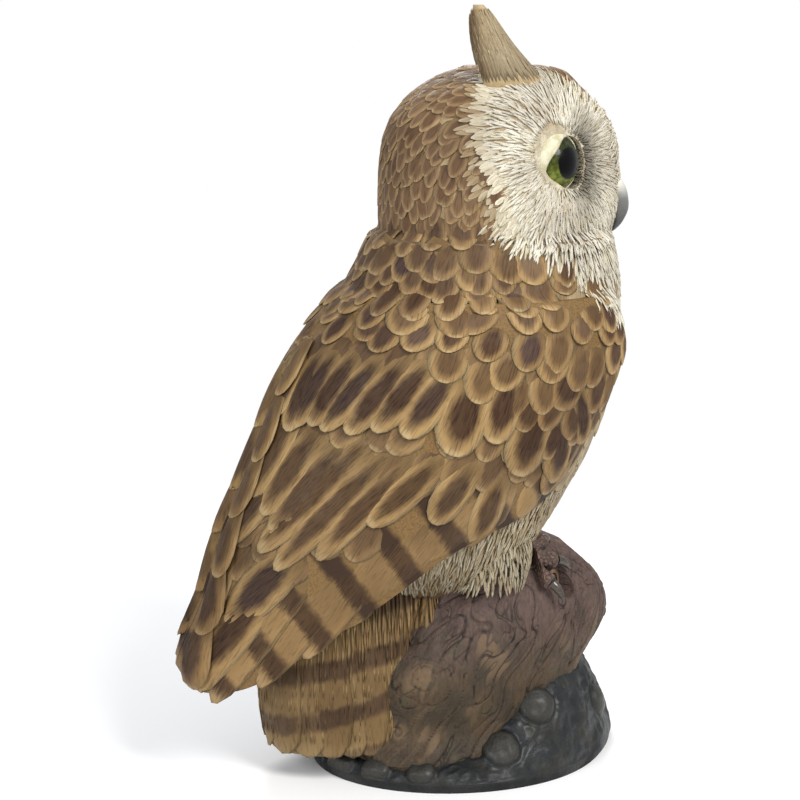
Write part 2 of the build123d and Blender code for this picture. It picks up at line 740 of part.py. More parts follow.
# ------------------------------------------------------------------ speaker
sx, sy = speaker_centre
frame = post(sx, sy, speaker_low, speaker_top, speaker_radius)
frame -= post(sx, sy, speaker_low, speaker_top - frame_wall, speaker_radius - frame_wall)
frame -= post(sx, sy, speaker_low, speaker_top, magnet_radius + running_gap)
save("speaker_frame", frame)
magnet_low = magnet_top - magnet_height
magnet = post(sx, sy, magnet_low, magnet_top, magnet_radius)
magnet -= tube(sx, sy, magnet_low, magnet_top - frame_wall, coil_radius + fit_gap,
               coil_radius - coil_wall - fit_gap)
save("speaker_magnet", magnet)
cone_low = speaker_low + 0.9
cone_edge = speaker_radius - frame_wall - fit_gap
save("speaker_cone", post(sx, sy, cone_low, cone_low + cone_thickness, cone_edge))
save("voice_coil", tube(sx, sy, cone_low + cone_thickness, magnet_low + 1.3, coil_radius,
                        coil_radius - coil_wall))

# ------------------------------------------------------------------ slide switch
wx, wy = switch_centre
body = block(wx, wy, plate_top, switch_top, switch_length, switch_width)
body -= block(wx, wy, plate_top - 1, plate_top + 1.8, slot_length, knob_depth + 2 * fit_gap)
save("switch_body", body)
knob_x = wx - knob_travel / 2
knob = block(knob_x, wy, 0.4, plate_top + 1.5, knob_width, knob_depth)
save("switch_knob", knob)

# ------------------------------------------------------------------ circuit board
bx = well_centre[0]
board = block(bx, (board_front + board_back) / 2, board_bottom, board_top, board_width, board_thickness)
board_screws = []
for height in boss_heights:
    board -= bar((bx, board_front - 1, height), (bx, board_back + 1, height),
                 board_screw_radius + running_gap)
    start = Vector(bx, board_front - board_screw_head_height, height)
    screw = bar(start, start + Vector(0, board_screw_head_height, 0), board_screw_head_radius)
    screw += bar(start, start + Vector(0, board_screw_length, 0), board_screw_radius)
    board_screws.append(screw)
save("circuit_board", board)
save("board_screws", *board_screws)


def on_board(x, height, width, tall, depth):
    """Box-shaped component standing out from the front of the board."""
    return block(bx + x, board_front - depth / 2, height - tall / 2, height + tall / 2, width, depth)


middle = (board_bottom + board_top) / 2
save("sound_chip", bar((bx + 1, board_front, middle), (bx + 1, board_front - chip_height, middle),
                       chip_radius))
save("capacitor", bar((bx - 7, board_front, middle), (bx - 7, board_front - component_height, middle),
                      capacitor_radius))
save("transistor", on_board(7.5, board_bottom + 9, 4.4, 4.6, 2.6))
sockets = [on_board(x, height, 5.6, 4, 4.6) for x, height in ((-7, board_top - 3.5), (7, board_top - 3.5),
                                                              (-7, board_bottom + 3.5))]
save("lead_sockets", *sockets)
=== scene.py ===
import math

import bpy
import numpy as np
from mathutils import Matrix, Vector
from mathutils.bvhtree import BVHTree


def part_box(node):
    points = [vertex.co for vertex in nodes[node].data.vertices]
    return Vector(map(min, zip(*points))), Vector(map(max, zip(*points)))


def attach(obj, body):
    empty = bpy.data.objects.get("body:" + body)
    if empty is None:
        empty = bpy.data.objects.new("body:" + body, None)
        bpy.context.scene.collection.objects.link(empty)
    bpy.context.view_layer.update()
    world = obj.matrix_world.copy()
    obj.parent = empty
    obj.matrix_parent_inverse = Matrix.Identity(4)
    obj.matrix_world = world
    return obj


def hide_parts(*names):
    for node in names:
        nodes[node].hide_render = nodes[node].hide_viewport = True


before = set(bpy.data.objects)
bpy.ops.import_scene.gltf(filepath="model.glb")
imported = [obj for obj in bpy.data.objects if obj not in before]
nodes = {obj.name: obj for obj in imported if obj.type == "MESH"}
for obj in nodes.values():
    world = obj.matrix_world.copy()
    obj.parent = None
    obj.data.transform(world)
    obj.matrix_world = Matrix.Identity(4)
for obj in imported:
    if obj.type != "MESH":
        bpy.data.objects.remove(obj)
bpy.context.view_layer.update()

# %% [markdown]
# # A carved and painted owl figurine
# The real object is a cast resin owl. Its feathers are carved relief, a millimetre or so high, and
# the paint is airbrushed over it, with pale dry-brushed edges. The CAD nodes give the smooth body of
# each casting. This lesson reads those bodies as "skins" and drapes thousands of small feathers over
# them, each a closed leaf of a few dozen faces. Sculpting by hand would look alike, but it couldn't be
# run again, and a bump in the paint alone would leave the outline smooth.

MM = 0.001
head_turn = math.radians(20)    # the head looks this far over the right shoulder
rng = np.random.default_rng(7)  # one seed, so every run gives the same feathers

# %% [markdown]
# ## Skins
# A casting such as the torso is star-shaped: seen from a line or a point inside it, its outside is one
# distance for each direction. Rays shot inwards at the CAD mesh measure that distance into a table.
# A skin can then be asked for a point and a normal anywhere, which is all that a feather needs.

# %% The skin of a casting
def tree_of(*names):
    """A ray-casting tree over the meshes of some CAD nodes."""
    points, faces, count = [], [], 0
    for name in names:
        mesh = nodes[name].data
        points += [corner.co for corner in mesh.vertices]
        faces += [[index + count for index in face.vertices] for face in mesh.polygons]
        count = len(points)
    return BVHTree.FromPolygons(points, faces)


def soften(values, times):
    """Averages each entry with its neighbours, round the turns and along the levels."""
    for _ in range(times):
        values = (np.roll(values, 1, 1) + 2 * values + np.roll(values, -1, 1)) / 4
        padded = np.pad(values, ((1, 1), (0, 0)), mode="edge")
        values = (padded[:-2] + 2 * values + padded[2:]) / 4
    return values


BEYOND = 0.3         # metres: rays start this far out, beyond the whole owl
BALL_RADIUS = 0.038  # metres: turns a length along a round skin into radians


class Skin:
    """Outside of a casting as distance(turn, level). Turn 0 faces -Y and a quarter turn faces +X.
    An upright skin measures from a vertical axis, and level is a height. A round skin measures from
    one centre, and level is an elevation in radians. Lean is how far an upright axis leans in x and y
    per unit of height."""

    def __init__(self, names, centre, low, high, dome=False, turns=240, levels=110, smooth=2, lean=(0, 0)):
        self.centre, self.dome = np.asarray(centre, float), dome
        self.lean = np.array([*lean, 0.0])
        self.scale = BALL_RADIUS if dome else 1.0
        self.low, self.high = low, high
        self.turns = np.linspace(-np.pi, np.pi, turns, endpoint=False)
        self.levels = np.linspace(low, high, levels)
        turn, level = np.meshgrid(self.turns, self.levels)
        base, ray = self.rays(turn, level)
        tree = tree_of(*names)
        starts, aims = (base + ray * BEYOND).reshape(-1, 3), -ray.reshape(-1, 3)
        hits = [tree.ray_cast(Vector(start), Vector(aim), BEYOND)[3] for start, aim in zip(starts, aims)]
        found = np.array([np.nan if hit is None else BEYOND - hit for hit in hits]).reshape(turn.shape)
        self.known = ~np.isnan(found)
        for column in found.T:
            seen = np.flatnonzero(~np.isnan(column))
            if len(seen):
                column[:] = np.interp(np.arange(levels), seen, column[seen])
        found[np.isnan(found)] = np.nanmean(found)
        self.table = soften(found, smooth)

    def rays(self, turn, level):
        """Where each ray's distance is measured from, and the ray's direction."""
        flat = np.stack([np.sin(turn), -np.cos(turn), 0 * turn], -1)
        up = np.array([0, 0, 1.0])
        if self.dome:
            slope = np.asarray(level)[..., None]
            return self.centre + 0 * flat, flat * np.cos(slope) + up * np.sin(slope)
        height = np.asarray(level)[..., None]
        axis = self.centre * [1, 1, 0] + self.lean * (height - self.low) + up * height
        return axis + 0 * flat, flat

    def reach(self, turn, level):
        """Distance at any turn and level, by bilinear blending of the table."""
        column = (turn + np.pi) / (2 * np.pi) * len(self.turns)
        row = np.clip((level - self.low) / (self.high - self.low), 0, 1) * (len(self.levels) - 1)
        left = np.floor(column).astype(int)
        below = np.minimum(np.floor(row).astype(int), len(self.levels) - 2)
        u, v = column - left, row - below
        left, right = left % len(self.turns), (left + 1) % len(self.turns)
        low = self.table[below, left] * (1 - u) + self.table[below, right] * u
        high = self.table[below + 1, left] * (1 - u) + self.table[below + 1, right] * u
        return low * (1 - v) + high * v

    def point(self, turn, level):
        """A point in space: the ray's start plus its direction times the distance."""
        base, ray = self.rays(turn, level)
        return base + ray * self.reach(turn, level)[..., None]

    def normal(self, turn, level):
        """Outward normal: the cross product of small steps along the turn and the level."""
        step_turn, step_level = 0.02, 0.012 if self.dome else 0.8 * MM
        along = self.point(turn + step_turn, level) - self.point(turn - step_turn, level)
        up = self.point(turn, level + step_level) - self.point(turn, level - step_level)
        normal = np.cross(along, up)
        return normal / np.linalg.norm(normal, axis=-1, keepdims=True)

    def address(self, points):
        """Turn and level of points in space."""
        offset = points - self.centre - self.lean * (points[..., 2:] - self.low)
        turn = np.arctan2(offset[..., 0], -offset[..., 1])
        if self.dome:
            return turn, np.arctan2(offset[..., 2], np.hypot(offset[..., 0], offset[..., 1]))
        return turn, points[..., 2]


# %% One skin for each part of the owl that carries feathers
torso_low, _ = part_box("torso_shell")
wing_low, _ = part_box("right_wing")
head_low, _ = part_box("head_shell")
tail_low, tail_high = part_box("tail_fan")
neck_level = head_low[2]
nape = Skin(["torso_shell", "right_wing", "left_wing", "head_shell"], (0, 0.002, 0), 0.146, 0.208, smooth=3)
breast = Skin(["torso_shell"], (0, 0.012, 0), torso_low[2] + 0.3 * MM, neck_level - 0.4 * MM)
coat = Skin(["torso_shell", "right_wing", "left_wing"], (0, 0.03, 0), wing_low[2] + 0.5 * MM,
            neck_level - 0.4 * MM)
scalp = Skin(["head_shell"], (0, -0.0055, 0.186), math.radians(-19), math.radians(88), dome=True)
tail = Skin(["tail_fan"], (0, 0.04, 0), tail_low[2] + 0.3 * MM, tail_high[2] - 0.3 * MM, levels=60)
for label, skin in (("nape", nape), ("breast", breast), ("coat", coat), ("scalp", scalp), ("tail", tail)):
    print(label, "skin: known share", round(float(skin.known.mean()), 2), "distances mm",
          round(float(skin.table.min() / MM), 1), "to", round(float(skin.table.max() / MM), 1))

# %% [markdown]
# ## Shader maths as Python
# A material's graph is easier to read as an expression than as a drawing of boxes. `Wire` wraps a
# socket, so that `1 - mask` or `rim * noise` adds the Math nodes, and `Paint` adds any other node.

# %% A wire that does arithmetic
class Wire:
    """A number carried by a socket."""

    def __init__(self, paint, socket):
        self.paint, self.socket = paint, socket

    def _math(self, operation, *values):
        return self.paint.node("ShaderNodeMath", {"operation": operation}, values)

    def __add__(self, other): return self._math("ADD", self, other)
    def __radd__(self, other): return self._math("ADD", other, self)
    def __sub__(self, other): return self._math("SUBTRACT", self, other)
    def __rsub__(self, other): return self._math("SUBTRACT", other, self)
    def __mul__(self, other): return self._math("MULTIPLY", self, other)
    def __rmul__(self, other): return self._math("MULTIPLY", other, self)
    def __pow__(self, other): return self._math("POWER", self, other)
    def sine(self): return self._math("SINE", self)
    def size(self): return self._math("ABSOLUTE", self)
    def least(self, other): return self._math("MINIMUM", self, other)
    def most(self, other): return self._math("MAXIMUM", self, other)

    def ramp(self, low, high, start=0.0, end=1.0):
        """Smooth step: start below low, end above high."""
        settings = {"interpolation_type": "SMOOTHSTEP"}
        limits = {"From Min": low, "From Max": high, "To Min": start, "To Max": end}
        return self.paint.node("ShaderNodeMapRange", settings, {"Value": self, **limits})


print("besides + - * and **, a wire has:", ", ".join(name for name in vars(Wire) if name[0] != "_"))


# %% A painter that adds nodes
class Paint:
    """One material and the nodes in it. Constants set sockets of its shader; _ stands for a space."""

    def __init__(self, name, **constants):
        self.material = bpy.data.materials.new(name)
        self.material.use_nodes = True
        self.tree = self.material.node_tree
        self.shader = self.tree.nodes["Principled BSDF"]
        for socket, value in constants.items():
            self.shader.inputs[socket.replace("_", " ")].default_value = value

    def put(self, target, value):
        """Links a wire to a socket, or sets the socket to a plain value."""
        if isinstance(value, Wire):
            self.tree.links.new(value.socket, target)
        else:
            target.default_value = value

    def node(self, kind, settings=None, inputs=(), output=0):
        """Adds a node, sets it, feeds it, and gives one output as a wire."""
        node = self.tree.nodes.new(kind)
        for key, value in (settings or {}).items():
            setattr(node, key, value)
        pairs = inputs.items() if isinstance(inputs, dict) else enumerate(inputs)
        for key, value in pairs:
            self.put(node.inputs[key], value)
        return Wire(self, node.outputs[output])

    def mix(self, share, first, second, blend="MIX"):
        """Colour mix. The node keeps sockets for each data type: 0 is the factor, 6 and 7 the colours
        going in, and 2 the colour coming out."""
        settings = {"data_type": "RGBA", "blend_type": blend, "clamp_factor": True}
        first, second = ((*value, 1.0) if isinstance(value, tuple) else value for value in (first, second))
        return self.node("ShaderNodeMix", settings, {0: share, 6: first, 7: second}, 2)

    def noise(self, vector, scale, detail=3.0):
        """Cloudy numbers about 0.5; the scale is in waves per metre."""
        return self.node("ShaderNodeTexNoise", None,
                         {"Vector": vector, "Scale": scale, "Detail": detail, "Roughness": 0.55})

    def vector_math(self, operation, *vectors, output="Vector"):
        """A Vector Math node, which keeps colours and directions whole."""
        return self.node("ShaderNodeVectorMath", {"operation": operation}, vectors, output)

    def attribute(self, name, output="Color"):
        """A colour attribute that the mesh carries."""
        return self.node("ShaderNodeAttribute", {"attribute_name": name}, output=output)

    def split(self, vector):
        """The three numbers of a vector or colour."""
        first = self.node("ShaderNodeSeparateXYZ", None, [vector])
        return [Wire(self, output) for output in first.socket.node.outputs]

    def height_mm(self, place):
        """Height above the ground in mm, of a place in Object coordinates."""
        return self.split(place)[2] * 1000

    def place(self):
        """Object coordinates."""
        return self.node("ShaderNodeTexCoord", output="Object")

    def feed(self, **sockets):
        """Links wires to the shader's sockets."""
        for socket, value in sockets.items():
            self.put(self.shader.inputs[socket.replace("_", " ")], value)

    def bump(self, height, strength, distance):
        """A Bump node turns a height into the shader's normal."""
        inputs = {"Height": height, "Strength": strength, "Distance": distance}
        self.feed(Normal=self.node("ShaderNodeBump", None, inputs))


def paint_colour(code):
    """Linear colour from a six-digit paint code such as 8f7857, by the standard screen curve."""
    parts = np.array([int(code[i:i + 2], 16) / 255 for i in (0, 2, 4)])
    linear = np.where(parts <= 0.04045, parts / 12.92, ((parts + 0.055) / 1.055) ** 2.4)
    return tuple(float(v) for v in linear)


print("linear value of the mid grey 808080:", round(paint_colour("808080")[0], 3))

# %% [markdown]
# ## The painted feather
# Every feather carries its own colours as attributes: `ground` is the pale paint, `mark` the
# airbrushed dark paint, and `marks` says how strong the centre streak, the bars and the pale
# dry-brushed rim are. The UV map `vane` runs across the feather in x and from root to tip in y,
# and `barb` holds the same two in centimetres, so barbs are equally fine on all feathers. One
# material for all of them is easier to tune than a picture for each, and it has no seams.

# %% The plumage material
TURN = 6.283  # a sine wave repeats after this many radians


def plumage_material(name, tone, low_tone, deep):
    """Paint for feathers. Tone tints all of it and low_tone its lower part; the last code is the colour of
    the painted shade at the tucked root.
    """
    paint = Paint(name, Specular_IOR_Level=0.2)
    vane = paint.node("ShaderNodeUVMap", {"uv_map": "vane"})
    side, along, _ = paint.split(vane)
    across = (side * 2 - 1).size()
    side_cm, along_cm, _ = paint.split(paint.node("ShaderNodeUVMap", {"uv_map": "barb"}))
    streak, bars, rim = paint.split(paint.attribute("marks"))
    ground, chance = paint.attribute("ground"), paint.attribute("ground", "Alpha")
    mark, bar_phase = paint.attribute("mark"), paint.attribute("mark", "Alpha")

    # Barbs are fine lines that slant away from the shaft on both sides.
    fan = side_cm * (1.15 - along * 0.25)
    slant = along_cm * 2.2 - side_cm.size() * 5
    lines = paint.node("ShaderNodeCombineXYZ", None, [fan * 21, slant, chance * 37])
    barbs = paint.noise(lines, 1.0, detail=2.0)
    place = paint.place()
    blotch = paint.noise(place, 230.0, detail=2.0)
    region = paint.noise(place, 34.0, detail=2.0)

    # The dark paint: an oval round the middle of the feather, and bars across it, with ragged edges.
    wander = barbs * 0.34 + blotch * 0.5 - 0.42
    spot = ((across * 1.3 - chance * 0.1) ** 2 + ((along - 0.55) * (1.9 + chance * 0.5)) ** 2) ** 0.5
    spot_mask = (spot + wander * 0.5).ramp(0.42, 1.0, 1, 0)
    wave = (bar_phase * TURN + wander * 2.6).sine()
    bar_mask = wave.ramp(-0.2, 0.75) * across.ramp(0.75, 1.0, 1.0, 0.75)
    dark = (streak * spot_mask).most(bars * bar_mask) * barbs.ramp(0.2, 0.7, 1.0, 0.9)
    colour = paint.mix(dark.least(1.0), ground, mark)
    # The pale rim is dry-brushed over the sides and the tip.
    pale = paint.mix(0.55, ground, paint_colour("dccb9f"))
    edge = (across ** 4).most(along.ramp(0.84, 1.02))
    rim_mask = rim * (edge + barbs * 0.8 - 0.35).ramp(0.3, 0.95, 0, 0.9)
    colour = paint.mix(rim_mask.least(1.0), colour, pale)
    # Darker between the barbs, in broad clouds and low on the owl; painted shade at the tucked root.
    fine = paint.mix(barbs.ramp(0.3, 0.5, 0.3, 0.0), colour, paint_colour("3a281a"), "MULTIPLY")
    fine = paint.mix(region.ramp(0.4, 0.66, 0.0, 0.28), fine, paint_colour("6b4a34"), "MULTIPLY")
    # Painted shade: the tucked root is darkened, where the row above would shade it.
    with_root_shade = paint.mix(along.ramp(0.12, 0.5, 0.5, 0.0), fine, paint_colour(deep), "MULTIPLY")
    with_root_shade = paint.mix(1.0, with_root_shade, tone, "MULTIPLY")
    with_root_shade = paint.mix(paint.height_mm(place).ramp(25, 150, 1, 0), with_root_shade, low_tone, "MULTIPLY")
    paint.feed(Base_Color=with_root_shade, Roughness=blotch.ramp(0.35, 0.65, 0.7, 0.5))
    paint.bump(barbs.ramp(0.25, 0.65), 0.35, 0.22 * MM)
    return paint.material


# The last code of each paint is the colour of its painted shade at the tucked feather roots.
plumage = plumage_material("plumage paint", (0.81, 0.77, 0.73), (0.76, 0.73, 0.72), "4a3626")
pale_plumage = plumage_material("pale plumage paint", (1.05, 1.08, 1.14), (0.66, 0.65, 0.62), "a3977f")
print("nodes in the plumage paint:", len(plumage.node_tree.nodes))

# %% [markdown]
# ## One leaf, many feathers
# A feather is a closed leaf: rings of points from root to tip, seven over the top and three under,
# with a single point at each end. A bristle is the same thing with four points in each ring. The
# leaf is placed thousands of times with numpy, which is far quicker than a Blender object for each.

# %% The leaf
# For each point of a ring: how far across the feather it lies, and 1 for the top, -1 for the underside
# and 0 for the edge. Then where along the feather each ring lies.
RING_ACROSS = np.array([-1, -0.72, -0.36, 0, 0.36, 0.72, 1, 0.7, 0, -0.7])
RING_SIDE = np.array([0, 1, 1, 1, 1, 1, 0, -1, -1, -1])
RING_ALONG = np.array([0.03, 0.22, 0.42, 0.62, 0.79, 0.91, 0.98])
BRISTLE_ACROSS = np.array([-1, 0, 1, 0])
BRISTLE_SIDE = np.array([0, 1, 0, -1])
BRISTLE_ALONG = np.array([0.05, 0.4, 0.8])


def leaf(ring_across, ring_side, ring_along):
    """Across, side and along of a leaf's points, its quads between neighbouring rings, and the fans of
    triangles at its ends."""
    ring, rings = len(ring_across), len(ring_along)
    around, onward = np.arange(ring), np.arange(rings - 1)[:, None] * ring
    after = (around + 1) % ring
    quads = np.stack([onward + 1 + around, onward + 1 + after, onward + 1 + ring + after,
                      onward + 1 + ring + around], -1).reshape(-1, 4)
    last = (rings - 1) * ring + 1
    start = np.stack([0 * around, 1 + after, 1 + around], -1)
    end = np.stack([0 * around + rings * ring + 1, last + around, last + after], -1)
    wrap = lambda first, middle, final: np.concatenate([[first], middle, [final]])
    return (wrap(0, np.tile(ring_across, rings), 0), wrap(0, np.tile(ring_side, rings), 0),
            wrap(0, np.repeat(ring_along, ring), 1), quads, np.concatenate([start, end]))


FEATHER = leaf(RING_ACROSS, RING_SIDE, RING_ALONG)
BRISTLE = leaf(BRISTLE_ACROSS, BRISTLE_SIDE, BRISTLE_ALONG)
for label, (*_, quads, fans) in (("feather", FEATHER), ("bristle", BRISTLE)):
    print("faces of a", label, len(quads) + len(fans))


# %% Meshes from arrays
def mesh_piece(name, points, face_sets, material, uv_maps=None, colours=None, body="root",
               slot="painted_resin_plumage"):
    """Puts arrays into a mesh: the corners of all faces in one run, with UV maps and colour attributes.
    The faces' signed volume is negative when they point inwards, and then they are turned round."""
    volume = 0
    for faces in face_sets:
        first, *others = (points[faces[:, column]] for column in range(faces.shape[1]))
        volume += sum((first * np.cross(b, c)).sum() for b, c in zip(others, others[1:]))
    if volume < 0:
        face_sets = [faces[:, ::-1] for faces in face_sets]
    corners = np.concatenate([faces.reshape(-1) for faces in face_sets]).astype(np.int32)
    sizes = np.concatenate([np.full(len(faces), faces.shape[1]) for faces in face_sets]).astype(np.int32)
    mesh = bpy.data.meshes.new(name)
    mesh.vertices.add(len(points))
    mesh.vertices.foreach_set("co", points.astype(np.float32).ravel())
    mesh.loops.add(len(corners))
    mesh.loops.foreach_set("vertex_index", corners)
    mesh.polygons.add(len(sizes))
    mesh.polygons.foreach_set("loop_start", np.concatenate([[0], np.cumsum(sizes)[:-1]]).astype(np.int32))
    mesh.polygons.foreach_set("loop_total", sizes)
    for label, values in (uv_maps or {}).items():
        layer = mesh.uv_layers.new(name=label)
        layer.data.foreach_set("uv", values[corners].astype(np.float32).ravel())
    for label, values in (colours or {}).items():
        layer = mesh.color_attributes.new(label, "FLOAT_COLOR", "POINT")
        layer.data.foreach_set("color", values.astype(np.float32).ravel())
    mesh.update(calc_edges=True)
    mesh.shade_smooth()
    mesh.materials.append(material)
    piece = bpy.data.objects.new(name, mesh)
    bpy.context.scene.collection.objects.link(piece)
    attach(piece, body)
    print(name, "faces", len(sizes))
    return piece


def grid_faces(levels, turns):
    """Quads of a grid that closes round its turns, for points numbered level by level."""
    start = np.arange(levels - 1)[:, None] * turns
    around = np.arange(turns)[None]
    after = (around + 1) % turns
    corners = (start + around, start + after, start + after + turns, start + around + turns)
    return np.stack(corners, -1).reshape(-1, 4)


def closed_skin(name, points, material, colours, slot):
    """A closed piece from a grid (level, turn, xyz): both open ends are closed by a fan to their middles."""
    levels, turns = points.shape[:2]
    low, high = points[0].mean(0), points[-1].mean(0)
    flat = np.concatenate([points.reshape(-1, 3), [low, high]])
    around = np.arange(turns)
    after, last, total = (around + 1) % turns, (levels - 1) * turns, levels * turns
    fans = np.concatenate([np.stack([0 * around + total, after, around], -1),
                           np.stack([0 * around + total + 1, last + around, last + after], -1)])
    full = {}
    for label, values in colours.items():
        values = values.reshape(-1)
        values = np.concatenate([values, [values[:turns].mean(), values[-turns:].mean()]])
        full[label] = np.stack([values, values, values, np.ones(len(values))], -1)
    return mesh_piece(name, flat, [grid_faces(levels, turns), fans], material, colours=full, slot=slot)


# %% [markdown]
# ## Placing feathers on a skin
# `rows` gives staggered places, `flow` gives the direction in which feathers lie there, and `flock`
# drapes one leaf at each place. A leaf's point is put on the skin at the place under it, then raised
# along the skin's normal by a lift that grows from the root to the tip, plus a dome across the middle.
# So the root is tucked under the row above and the tip stands proud of the row below. Blender's hair
# could scatter leaves too, but not in the neat staggered rows that a carver makes.

# %% Rows and flow
def rows(skin, levels, gap, jitter=0.12):
    """Staggered places: each level is divided into equal arcs of about one gap."""
    turns, places = [], []
    ring = np.linspace(-np.pi, np.pi, 721)
    for index, level in enumerate(levels):
        steps = np.linalg.norm(np.diff(skin.point(ring, 0 * ring + level), axis=0), axis=1)
        run = np.concatenate([[0], np.cumsum(steps)])
        count = max(int(run[-1] / gap), 3)
        at = (np.arange(count) + 0.5 * (index % 2) + rng.uniform(-jitter, jitter, count)) * run[-1] / count
        turns.append(np.interp(at % run[-1], run, ring))
        places.append(level + rng.uniform(-jitter, jitter, count) * gap / skin.scale)
    return np.concatenate(turns), np.concatenate(places)


def flow(skin, turn, level, tilt, front=0.0):
    """Down the skin, swung by tilt (radians) away from the front."""
    small, step = 0.02, 0.001 / skin.scale
    down = skin.point(turn, level - step) - skin.point(turn, level + step)
    away = skin.point(turn + small, level) - skin.point(turn - small, level)
    offset = (turn - front + np.pi) % (2 * np.pi) - np.pi
    away *= np.sign(offset)[:, None]
    down /= np.linalg.norm(down, axis=-1, keepdims=True)
    away /= np.linalg.norm(away, axis=-1, keepdims=True)
    tilt = np.broadcast_to(tilt, turn.shape)[:, None]
    return down * np.cos(tilt) + away * np.sin(tilt)


def pick(keep, *columns):
    """The same choice of places from each column, and how many they are."""
    return *(values[keep] for values in columns), int(np.sum(keep))


print("down the coat's side:", np.round(flow(coat, np.full(1, -1.5), np.full(1, 0.1), 0.0)[0], 2))


# %% The shape of a feather, and a flock of them
def leaf_width(along, blunt):
    """Share of the full half width: a soft shoulder at the root, then an ellipse to the tip."""
    shoulder = 0.62 + 0.38 * np.clip(along / 0.5, 0, 1) ** 0.8
    return shoulder * np.sqrt(np.clip(1 - (np.clip(along - blunt, 0, 1) / (1 - blunt)) ** 2, 0, 1))


def flock(name, skin, turn, level, direction, length, width, ground, mark, marks, shape=FEATHER, sink=0.5,
          lift=1.0, crown=0.5, blunt=0.5, thick=0.7, roll=0.0, bend=0.0, bar=(0, 0, 60), wild=0.0, both=False,
          material=None, **wiring):
    """Leaves on a skin, one for each turn and level. Length and width are metres, and sink, lift, crown,
    thick and roll are millimetres off the skin. Bars cross the feathers at every whole turn of
    bar . place, and wild is the share of disorder. With both, the flock is repeated on the other side
    of the middle plane.

    height = -sink at the root, rising to lift at the tip, plus crown times (1 - across squared) on top,
    minus thick on the underside, plus roll times across."""
    count = len(turn)
    across, side_of, along, quads, fans = shape
    column = lambda value: np.broadcast_to(np.asarray(value, float), (count,))[:, None]
    forward = direction / np.linalg.norm(direction, axis=-1, keepdims=True) + rng.normal(0, wild, (count, 3))
    forward /= np.linalg.norm(forward, axis=-1, keepdims=True)
    length, width = length * rng.normal(1, wild, count), width * rng.normal(1, wild, count)
    side = np.cross(skin.normal(turn, level), forward)
    side /= np.linalg.norm(side, axis=-1, keepdims=True)
    run = column(length) * along
    swing = column(width) / 2 * leaf_width(along, blunt) * across + column(bend) * run * along
    flat = (skin.point(turn, level)[:, None] + forward[:, None] * run[..., None]
            + side[:, None] * swing[..., None])
    place = skin.address(flat)
    dome = column(crown) * (1 - across ** 2) * np.sin(np.pi * along ** 0.9) ** 0.6 * (side_of > 0)
    under = column(thick) * (0.35 + 0.65 * np.sin(np.pi * along) ** 0.5) * (side_of < 0)
    height = (column(sink) * -1 + (column(lift) + column(sink)) * along ** 0.8 + dome - under
              + column(roll) * across * along ** 0.5)
    points = (skin.point(*place) + skin.normal(*place) * (height * MM)[..., None]).reshape(-1, 3)
    per = len(along)
    starts = (np.arange(count) * per)[:, None, None]
    quads, fans = (quads + starts).reshape(-1, 4), (fans + starts).reshape(-1, 3)
    spread = lambda values: np.repeat(np.broadcast_to(values, (count, 3)), per, axis=0)
    colours = {"ground": np.hstack([spread(ground), np.repeat(rng.random(count), per)[:, None]]),
               "mark": np.hstack([spread(mark), points @ np.array(bar)[:, None]]),
               "marks": np.hstack([spread(marks), np.ones((count * per, 1))])}
    vane = np.stack([np.tile(across, count) / 2 + 0.5, np.tile(along, count)], -1)
    uv_maps = {"vane": vane, "barb": np.stack([swing.ravel(), run.ravel()], -1) * 100}
    if both:
        total = len(points)
        points = np.concatenate([points, points * [-1, 1, 1]])
        quads = np.concatenate([quads, quads[:, ::-1] + total])
        fans = np.concatenate([fans, fans[:, ::-1] + total])
        uv_maps = {label: np.tile(values, (2, 1)) for label, values in uv_maps.items()}
        colours = {label: np.tile(values, (2, 1)) for label, values in colours.items()}
    return mesh_piece(name, points, [quads, fans], material or plumage, uv_maps, colours, **wiring)


def blend(first, second, share):
    """Colours between two paint codes, one for each share."""
    share = np.clip(np.asarray(share, float), 0, 1)[..., None]
    return np.array(paint_colour(first)) * (1 - share) + np.array(paint_colour(second)) * share


def mottled(first, second, count):
    """A chance colour between two paint codes for each feather."""
    return blend(first, second, rng.random(count))


def scatter(count, *scales):
    """Chance marks for a flock: a column for the streak, the bars and the pale rim, each up to its scale."""
    return rng.uniform(0.65, 1, (count, 3)) * np.array(scales)


print("width along a feather, as shares:", np.round(leaf_width(np.linspace(0, 1, 5), 0.5), 2))

# %% [markdown]
# ## Wings
# The carver laid the long feathers one by one, so they are a table and not a pattern. Each row gives
# the turn (degrees) and height (mm) of the root, the same for the tip, the width (mm), the streak and
# the bars. The turn is about the upright axis of the coat, and the right wing's table is mirrored for
# the left. The first rows lie over the shoulder, then come the coverts and the barred flight feathers.

